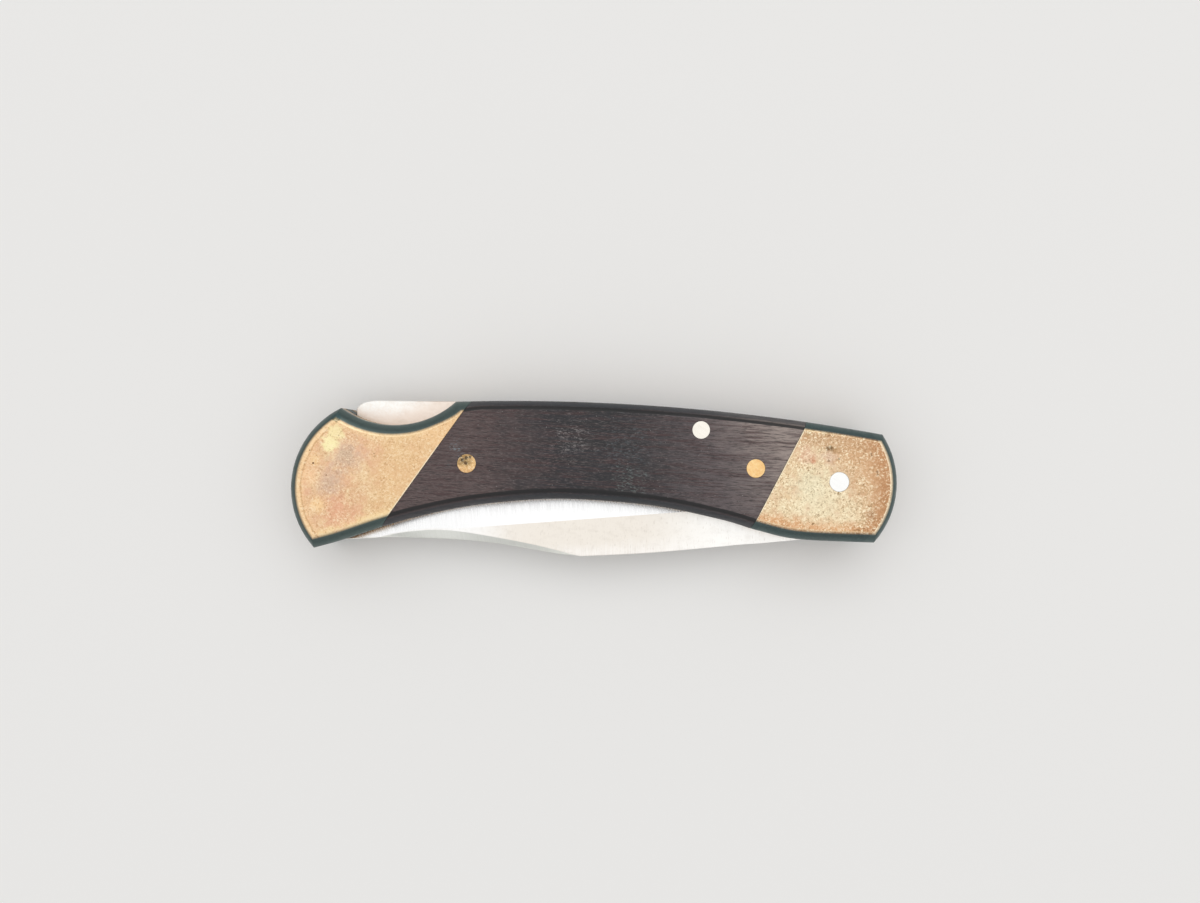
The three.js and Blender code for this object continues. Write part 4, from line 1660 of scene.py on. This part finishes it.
@dataclass
class Blade:
    """The clip-point blade: tang, hollow grind, false edge and nail nick.

    Its lines are in the blade's own axes, with +X to the tip and +Y to the spine.
    """

    outline: HandleOutline
    bar: LockBar
    finishes: Finishes
    spine: tuple[Point, ...] = ((2.6, 11.6), (5.55, 12.24), (19.26, 13.51), (38.24, 15.19), (53.0, 15.93))
    clip: tuple[Point, ...] = (
        (53.0, 15.93), (57.6, 15.4), (63.54, 14.35), (70.5, 13.2), (78.3, 12.45), (90.95, 11.92),
        (99.0, 12.2), (105.8, 12.6),
    )
    edge: tuple[Point, ...] = (
        (15.5, -6.6), (30.0, -6.6), (46.0, -6.5), (60.0, -5.6), (72.0, -3.4), (84.0, 0.6),
        (95.0, 6.1), (102.0, 10.2), (105.8, 12.6),
    )
    grind: tuple[Point, ...] = (
        (15.5, 5.4), (34.44, 6.76), (55.1, 8.3), (74.08, 9.7), (86.0, 10.6), (97.0, 12.6), (106.5, 15.4),
    )
    swedge: tuple[Point, ...] = (
        (53.4, 15.8), (61.43, 13.72), (69.87, 12.03), (78.3, 10.65), (83.5, 10.3), (88.0, 10.55),
        (91.6, 11.05), (94.2, 11.62), (96.0, 12.1), (106.5, 15.0),
    )
    plunge_start: float = 17.4
    plunge_end: float = 20.6
    grid_lead: float = 0.4
    grid_near: float = 1e-4
    tip_cut: float = 0.1
    tip_crowding: float = 0.45
    edge_half: float = 0.03
    edge_shoulder: float = 0.14
    edge_bevel: float = 0.7
    swedge_half: float = 0.75
    hollow_curve: float = 1.15
    tip_curve: float = 2.2
    tip_grind: tuple[float, float] = (66.0, 84.0)
    tip_taper: tuple[float, float] = (86.0, 105.0)
    tip_half: float = 0.85
    spine_round: float = 0.14
    rim_radius: float = 8.0
    notch_depth: float = 0.9
    notch_clearance: float = 0.3
    shoulder_drop: float = 0.1
    tang_flat: float = 6.7
    kick_x: float = -1.3
    choil: Point = (14.6, -6.65)
    choil_radius: float = 0.9
    hole_radius: float = 2.06
    drill_reach: float = 50.0
    nick: Point = (38.0, 11.6)
    nick_width: float = 2.0
    nick_depth: float = 0.7
    nick_cutter: float = 40.0
    nick_steps: int = 360
    hard_turn: float = 28.0
    spine_steps: int = 12
    rim_steps: int = 80
    choil_steps: int = 14
    columns: int = 220
    edge_rows: int = 3
    hollow_rows: int = 22
    flat_rows: int = 10
    swedge_rows: int = 10
    round_rows: int = 3
    # Where the blade gets low near its tip, these keep each band of rows a height of its own
    least_height: float = 0.2
    least_band: float = 0.01
    bevel_share: float = 0.12
    cap_share: float = 0.08
    swedge_gap: float = 0.02
    swedge_share: float = 0.5
    grind_share: float = 0.3
    flat_share: float = 0.03

    def __post_init__(self) -> None:
        """Works out the blade's lines and levels."""
        low, high = node_levels("blade")
        self.half = (high - low) / 2
        self.middle = (high + low) / 2
        self.spine_height = height_along(smooth_line(self.spine))
        self.clip_height = height_along(smooth_line(self.clip))
        self.edge_height = height_along(smooth_line(self.edge))
        self.grind_height = height_along(smooth_line(self.grind))
        self.swedge_height = height_along(smooth_line(self.swedge))
        self.grid_x = self.plunge_start - self.grid_lead
        self.tip_x = self.edge[-1][0] - self.tip_cut

    def top(self, x: float) -> float:
        """Height of the spine or the clip at x."""
        return self.spine_height(x) if x < self.clip[0][0] else self.clip_height(x)

    def half_at(self, x: float, y: float) -> float:
        """Half the blade's thickness at a place in its side view.

        Args:
            x: distance from the pivot along the blade.
            y: height towards the spine.

        Returns:
            The half thickness in millimetres.
        """
        low, top, line = self.edge_height(x), self.top(x), self.grind_height(x)
        plunge = smooth_share(x, self.plunge_start, self.plunge_end)
        across = min(max((line - y) / (line - low), 0.0), 1.0)
        full = self.half - (self.half - self.tip_half) * smooth_share(x, *self.tip_taper)
        thin = full - self.edge_shoulder
        tip = smooth_share(x, *self.tip_grind)
        ground = (1 - tip) * (1 - (1 - across) ** self.hollow_curve) + tip * across**self.tip_curve
        half = full - plunge * thin * ground
        if x > self.swedge[0][0]:
            line = self.swedge_height(x)
            rise = min(max((y - line) / max(top - line, self.least_band), 0.0), 1.0)
            half = min(half, full - (full - self.swedge_half) * rise)
        if y - low < self.edge_bevel:
            keen = self.edge_half + (half - self.edge_half) * (y - low) / self.edge_bevel
            half += (keen - half) * plunge
        into_round = min(max(self.spine_round - (top - y), 0.0), self.spine_round)
        drop = self.spine_round - math.sqrt(self.spine_round**2 - into_round**2)
        half -= min(drop, half / 2)
        return max(half, self.edge_half)

    def rows_at(self, x: float) -> list[float]:
        """Heights of the grid's rows at x, from the edge to the spine.

        Args:
            x: distance from the pivot along the blade.

        Returns:
            The heights.
        """
        low, top = self.edge_height(x), self.top(x)
        room = max(top - low, self.least_height)
        bevel = min(self.edge_bevel, room * self.bevel_share)
        cap = min(self.spine_round, room * self.cap_share)
        swedge = room - cap - self.swedge_gap
        if x > self.swedge[0][0]:
            swedge = min(max(self.swedge_height(x) - low, room * self.swedge_share), swedge)
        grind = max(self.grind_height(x) - low, room * self.grind_share)
        grind = min(grind, swedge - room * self.flat_share)
        stops = [0.0, bevel, grind, swedge, room - cap, room]
        counts = [self.edge_rows, self.hollow_rows, self.flat_rows, self.swedge_rows, self.round_rows]
        rows = []
        for start, end, count in zip(stops, stops[1:], counts):
            rows += [low + start + (end - start) * i / count for i in range(count)]
        return rows + [low + room]

    def closed(self, x: float, y: float, z: float) -> Vector:
        """A place in the blade's own axes, as it lies in the closed knife, in metres."""
        return Vector((PIVOT.x - x, PIVOT.y - y, self.middle + z)) * MM

    def tang(self) -> list[Vector]:
        """The tang's side view, from the spine round the notch and the rim to the edge.

        Returns:
            The points of its outline.
        """
        lean = math.radians(180 - OPEN_ANGLE)
        turn = Matrix.Rotation(lean, 2)
        front = self.bar.tooth_front + self.notch_clearance
        rear = -self.bar.tooth_rear - self.notch_clearance
        floor = self.rim_radius - self.notch_depth
        corners = [
            Vector((front, self.bar.back(front) - self.shoulder_drop)),
            Vector((front, math.sqrt(floor**2 - front**2))),
            Vector((rear, math.sqrt(floor**2 - rear**2))),
            Vector((rear, math.sqrt(self.rim_radius**2 - rear**2))),
        ]
        shoulder, floor_front, floor_rear, wall = [turn @ corner for corner in corners]
        start = math.degrees(math.atan2(wall.y, wall.x))
        kick = 360 - math.degrees(math.acos(self.kick_x / self.rim_radius))
        rim = arc_about((0, 0), self.rim_radius, start, kick, self.rim_steps)
        cut = arc_about(self.choil, self.choil_radius, 180, 0, self.choil_steps)
        first, steps = self.spine[0][0], self.spine_steps
        xs = [self.grid_x + (first - self.grid_x) * i / steps for i in range(1, steps + 1)]
        spine = [Vector((x, self.top(x))) for x in xs]
        foot = Vector((self.kick_x, -self.tang_flat))
        return [*spine, shoulder, floor_front, floor_rear, *rim, foot, *cut]

    def sheet(self) -> bmesh.types.BMesh:
        """The side view as a flat sheet, with a grid of faces where the blade is ground.

        Returns:
            The sheet as a bmesh, in the blade's own axes and in millimetres.
        """
        rows = self.edge_rows + self.hollow_rows + self.flat_rows + self.swedge_rows + self.round_rows
        bm = bmesh.new()
        bmesh.ops.create_grid(bm, x_segments=self.columns, y_segments=rows, size=0.5)
        column_rows: dict[int, list[float]] = {}
        first_column: dict[int, bmesh.types.BMVert] = {}
        for vert in bm.verts:
            column = round((vert.co.x + 0.5) * self.columns)
            row = round((vert.co.y + 0.5) * rows)
            share = column / self.columns
            crowded = (1 - self.tip_crowding) * share + self.tip_crowding * share * (2 - share)
            x = self.grid_x + (self.tip_x - self.grid_x) * crowded
            if column not in column_rows:
                column_rows[column] = self.rows_at(x)
            y = column_rows[column][row]
            vert.co = (x, y, 0.0)
            if column == 0:
                first_column[row] = vert
        below = self.edge_rows + self.hollow_rows
        above = below + self.flat_rows
        for face in bm.faces:
            centre = face.calc_center_median()
            line = self.rows_at(centre.x)
            if centre.y < line[below]:
                face.material_index = Ground.HOLLOW.value
            elif centre.y > line[above] and centre.x > self.swedge[0][0]:
                face.material_index = Ground.SWEDGE.value
        tang = [bm.verts.new((p.x, p.y, 0.0)) for p in self.tang()]
        bm.faces.new([*tang, *[first_column[row] for row in range(rows + 1)]])
        return bm

    def build(self) -> None:
        """Gives the sheet its thickness and its grinds, drills it and cuts the nick."""
        bm = self.sheet()
        made = bmesh.ops.extrude_face_region(bm, geom=bm.faces[:])
        raised = {item for item in made["geom"] if isinstance(item, bmesh.types.BMVert)}
        for vert in bm.verts:
            x, y = vert.co.x, vert.co.y
            half = self.half if x < self.grid_x - self.grid_near else self.half_at(x, y)
            vert.co = self.closed(x, y, half if vert in raised else -half)
        bmesh.ops.recalc_face_normals(bm, faces=bm.faces)
        steels = {
            Ground.FLAT: self.finishes.flat_steel,
            Ground.HOLLOW: self.finishes.hollow_steel,
            Ground.SWEDGE: self.finishes.swedge_steel,
        }
        piece = make_piece("clip_point_blade", bm, [steels[ground] for ground in Ground])
        carve(piece, rod(0.0, 0.0, self.hole_radius, -self.drill_reach, self.drill_reach))
        carve(piece, self.nick_disc())
        shade(piece, self.hard_turn)
        place(piece, "blade", "blade", "blade_steel")

    def nick_disc(self) -> bmesh.types.BMesh:
        """The disc whose rim cuts the crescent nail nick into the lower face.

        Returns:
            The disc as a bmesh, in metres.
        """
        bm = bmesh.new()
        centre = self.closed(*self.nick, self.nick_depth - self.half - self.nick_cutter)
        upright = Matrix.Rotation(math.radians(90), 4, "X")
        bmesh.ops.create_cone(
            bm, cap_ends=True, segments=self.nick_steps,
            radius1=(self.nick_cutter - self.nick_depth) * MM, radius2=self.nick_cutter * MM,
            depth=self.nick_width * MM, matrix=Matrix.Translation(centre) @ upright,
        )
        return bm


@dataclass
class BackSpring:
    """The leaf that holds the rear end of the lock bar up; it bends as the bar rocks."""

    bar: LockBar
    finishes: Finishes
    thickness: float = 1.3
    root: Point = (-98.6, 3.6)
    exit_x: float = -92.0
    middle_x: float = -78.0
    middle_rise: float = 2.3
    end_x: float = -62.5
    seat: float = 0.15
    edge_round: float = 0.12
    root_steps: int = 8
    steps: int = 40

    def build(self) -> None:
        """Builds the leaf and hides the CAD spring."""
        end_y = self.bar.top(self.end_x) - self.bar.depth - self.seat - self.thickness / 2
        knots = [
            Vector((self.exit_x, self.root[1])),
            Vector((self.exit_x + (self.end_x - self.exit_x) / 3, self.root[1])),
            Vector((self.middle_x, self.root[1] + self.middle_rise)),
            Vector((self.end_x, end_y)),
        ]
        run = self.exit_x - self.root[0]
        line = [
            Vector((self.root[0] + run * i / self.root_steps, self.root[1]))
            for i in range(self.root_steps)
        ]
        for i in range(self.steps + 1):
            t = i / self.steps
            weights = ((1 - t) ** 3, 3 * t * (1 - t) ** 2, 3 * t * t * (1 - t), t**3)
            line.append(sum((knot * weight for knot, weight in zip(knots, weights)), Vector((0, 0))))
        ways = [(b - a).normalized() for a, b in zip(line, line[1:])]
        ways.append(ways[-1])
        sides = [Vector((-way.y, way.x)) * (self.thickness / 2) for way in ways]
        under = [p - side for p, side in zip(line, sides)]
        over = [p + side for p, side in zip(line, sides)]
        low, high = node_levels("back_spring")
        bm = prism([*under, *reversed(over)], low, high)
        soften_faces(bm, low, high, self.edge_round, steps=2)
        piece = make_piece("leaf_spring", bm, [self.finishes.spring_steel])
        shade(piece)
        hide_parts("back_spring")
        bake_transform(piece)
        LOG.info("%s bends between handle and lock_bar", piece.name)


@dataclass
class ButtSpacer:
    """The steel block that closes the butt and holds the root of the spring."""

    finishes: Finishes
    merge: float = 0.001
    flat_turn: float = 0.5

    def build(self) -> None:
        """Builds the block from a merged copy of its CAD mesh, with smooth curves."""
        bm = bmesh.new()
        bm.from_mesh(frame["nodes"]["butt_spacer"].data)
        bmesh.ops.remove_doubles(bm, verts=bm.verts, dist=self.merge * MM)
        turn = math.radians(self.flat_turn)
        bmesh.ops.dissolve_limit(bm, angle_limit=turn, verts=bm.verts, edges=bm.edges)
        piece = make_piece("butt_spacer_block", bm, [self.finishes.spring_steel])
        shade(piece)
        place(piece, "handle", "butt_spacer", "spring_steel")


@dataclass
class Studio:
    """The photographed view: a camera straight above, a pale floor and soft light."""

    camera_place: tuple[float, float, float] = (1.23, 5.64, 206.5)
    lens: float = 28.0
    sensor: float = 36.0
    near_clip: float = 0.01
    floor_size: float = 12.0
    floor_drop: float = 0.05
    floor_colour: str = "#f2f1ef"
    floor_roughness: float = 0.85
    horizon_light: float = 0.79
    low_light: float = 0.42
    zenith_light: float = 1.06
    dome_edges: tuple[float, float, float] = (0.02, 0.3, 0.8)
    back_light: float = 0.34
    lamp_power: float = 0.5
    lamp_place: tuple[float, float, float] = (0.1, 0.55, 0.8)
    lamp_size: float = 0.5

    def build(self) -> None:
        """Builds camera, floor, lamp and world."""
        scene = bpy.context.scene
        camera = bpy.data.cameras.new("camera")
        camera.lens = self.lens
        camera.sensor_width = self.sensor
        camera.clip_start = self.near_clip
        viewer = bpy.data.objects.new("camera", camera)
        viewer.location = Vector(self.camera_place) * MM
        scene.collection.objects.link(viewer)
        scene.camera = viewer
        self.build_floor()
        lamp = bpy.data.lights.new("softbox", "AREA")
        lamp.size = self.lamp_size
        lamp.energy = self.lamp_power
        softbox = bpy.data.objects.new("softbox", lamp)
        softbox.location = self.lamp_place
        softbox.rotation_euler = (-Vector(self.lamp_place)).to_track_quat("-Z", "Y").to_euler()
        scene.collection.objects.link(softbox)
        self.build_world(scene)
        scene.view_settings.view_transform = "Standard"

    def build_floor(self) -> None:
        """Builds the pale floor just under the knife."""
        bm = bmesh.new()
        bmesh.ops.create_grid(bm, x_segments=1, y_segments=1, size=self.floor_size / 2)
        bmesh.ops.translate(bm, verts=bm.verts, vec=(0, 0, -self.floor_drop * MM))
        card = Surface("pale_matt_card", self.floor_colour, {"Roughness": self.floor_roughness})
        make_piece("floor", bm, [card.material])

    def build_world(self, scene: bpy.types.Scene) -> None:
        """Builds a dome of light: as pale as the floor at the horizon, dim above it, bright overhead.

        Args:
            scene: the scene that gets it.
        """
        world = bpy.data.worlds.new("studio")
        world.use_nodes = True
        tree = world.node_tree
        way = add_node(tree, "ShaderNodeTexCoord").outputs["Generated"]
        parts = add_node(tree, "ShaderNodeSeparateXYZ", inputs={"Vector": way})
        start, dim, full = self.dome_edges
        above = self.zenith_light - self.low_light
        skies = ((start, dim, self.horizon_light, self.low_light), (dim, full, 0.0, above))
        low_sky, high_sky = [
            add_node(
                tree,
                "ShaderNodeMapRange",
                SMOOTH,
                {"Value": parts.outputs["Z"], "From Min": a, "From Max": b, "To Min": c, "To Max": d},
            )
            for a, b, c, d in skies
        ]
        tilt = add_node(
            tree,
            "ShaderNodeMath",
            {"operation": "MULTIPLY_ADD"},
            {0: parts.outputs["Y"], 1: self.back_light, 2: 1.0},
        )
        light = add_node(
            tree, "ShaderNodeMath", {"operation": "MULTIPLY_ADD"}, {0: high_sky, 1: tilt, 2: low_sky}
        )
        feed(tree, tree.nodes["Background"], {"Color": (1.0, 1.0, 1.0, 1.0), "Strength": light})
        scene.world = world


def main() -> None:
    """Builds the studio and the knife, part by part."""
    logging.basicConfig(level=logging.INFO, format="%(message)s")
    Studio().build()
    finishes = Finishes()
    outline = HandleOutline()
    pins = Pins(finishes)
    for side in Side:
        HandleSide(side, outline, pins, finishes).build()
    pins.build()
    bar = LockBar(outline, finishes)
    bar.build()
    Blade(outline, bar, finishes).build()
    BackSpring(bar, finishes).build()
    ButtSpacer(finishes).build()


if __name__ == "__main__":
    main()
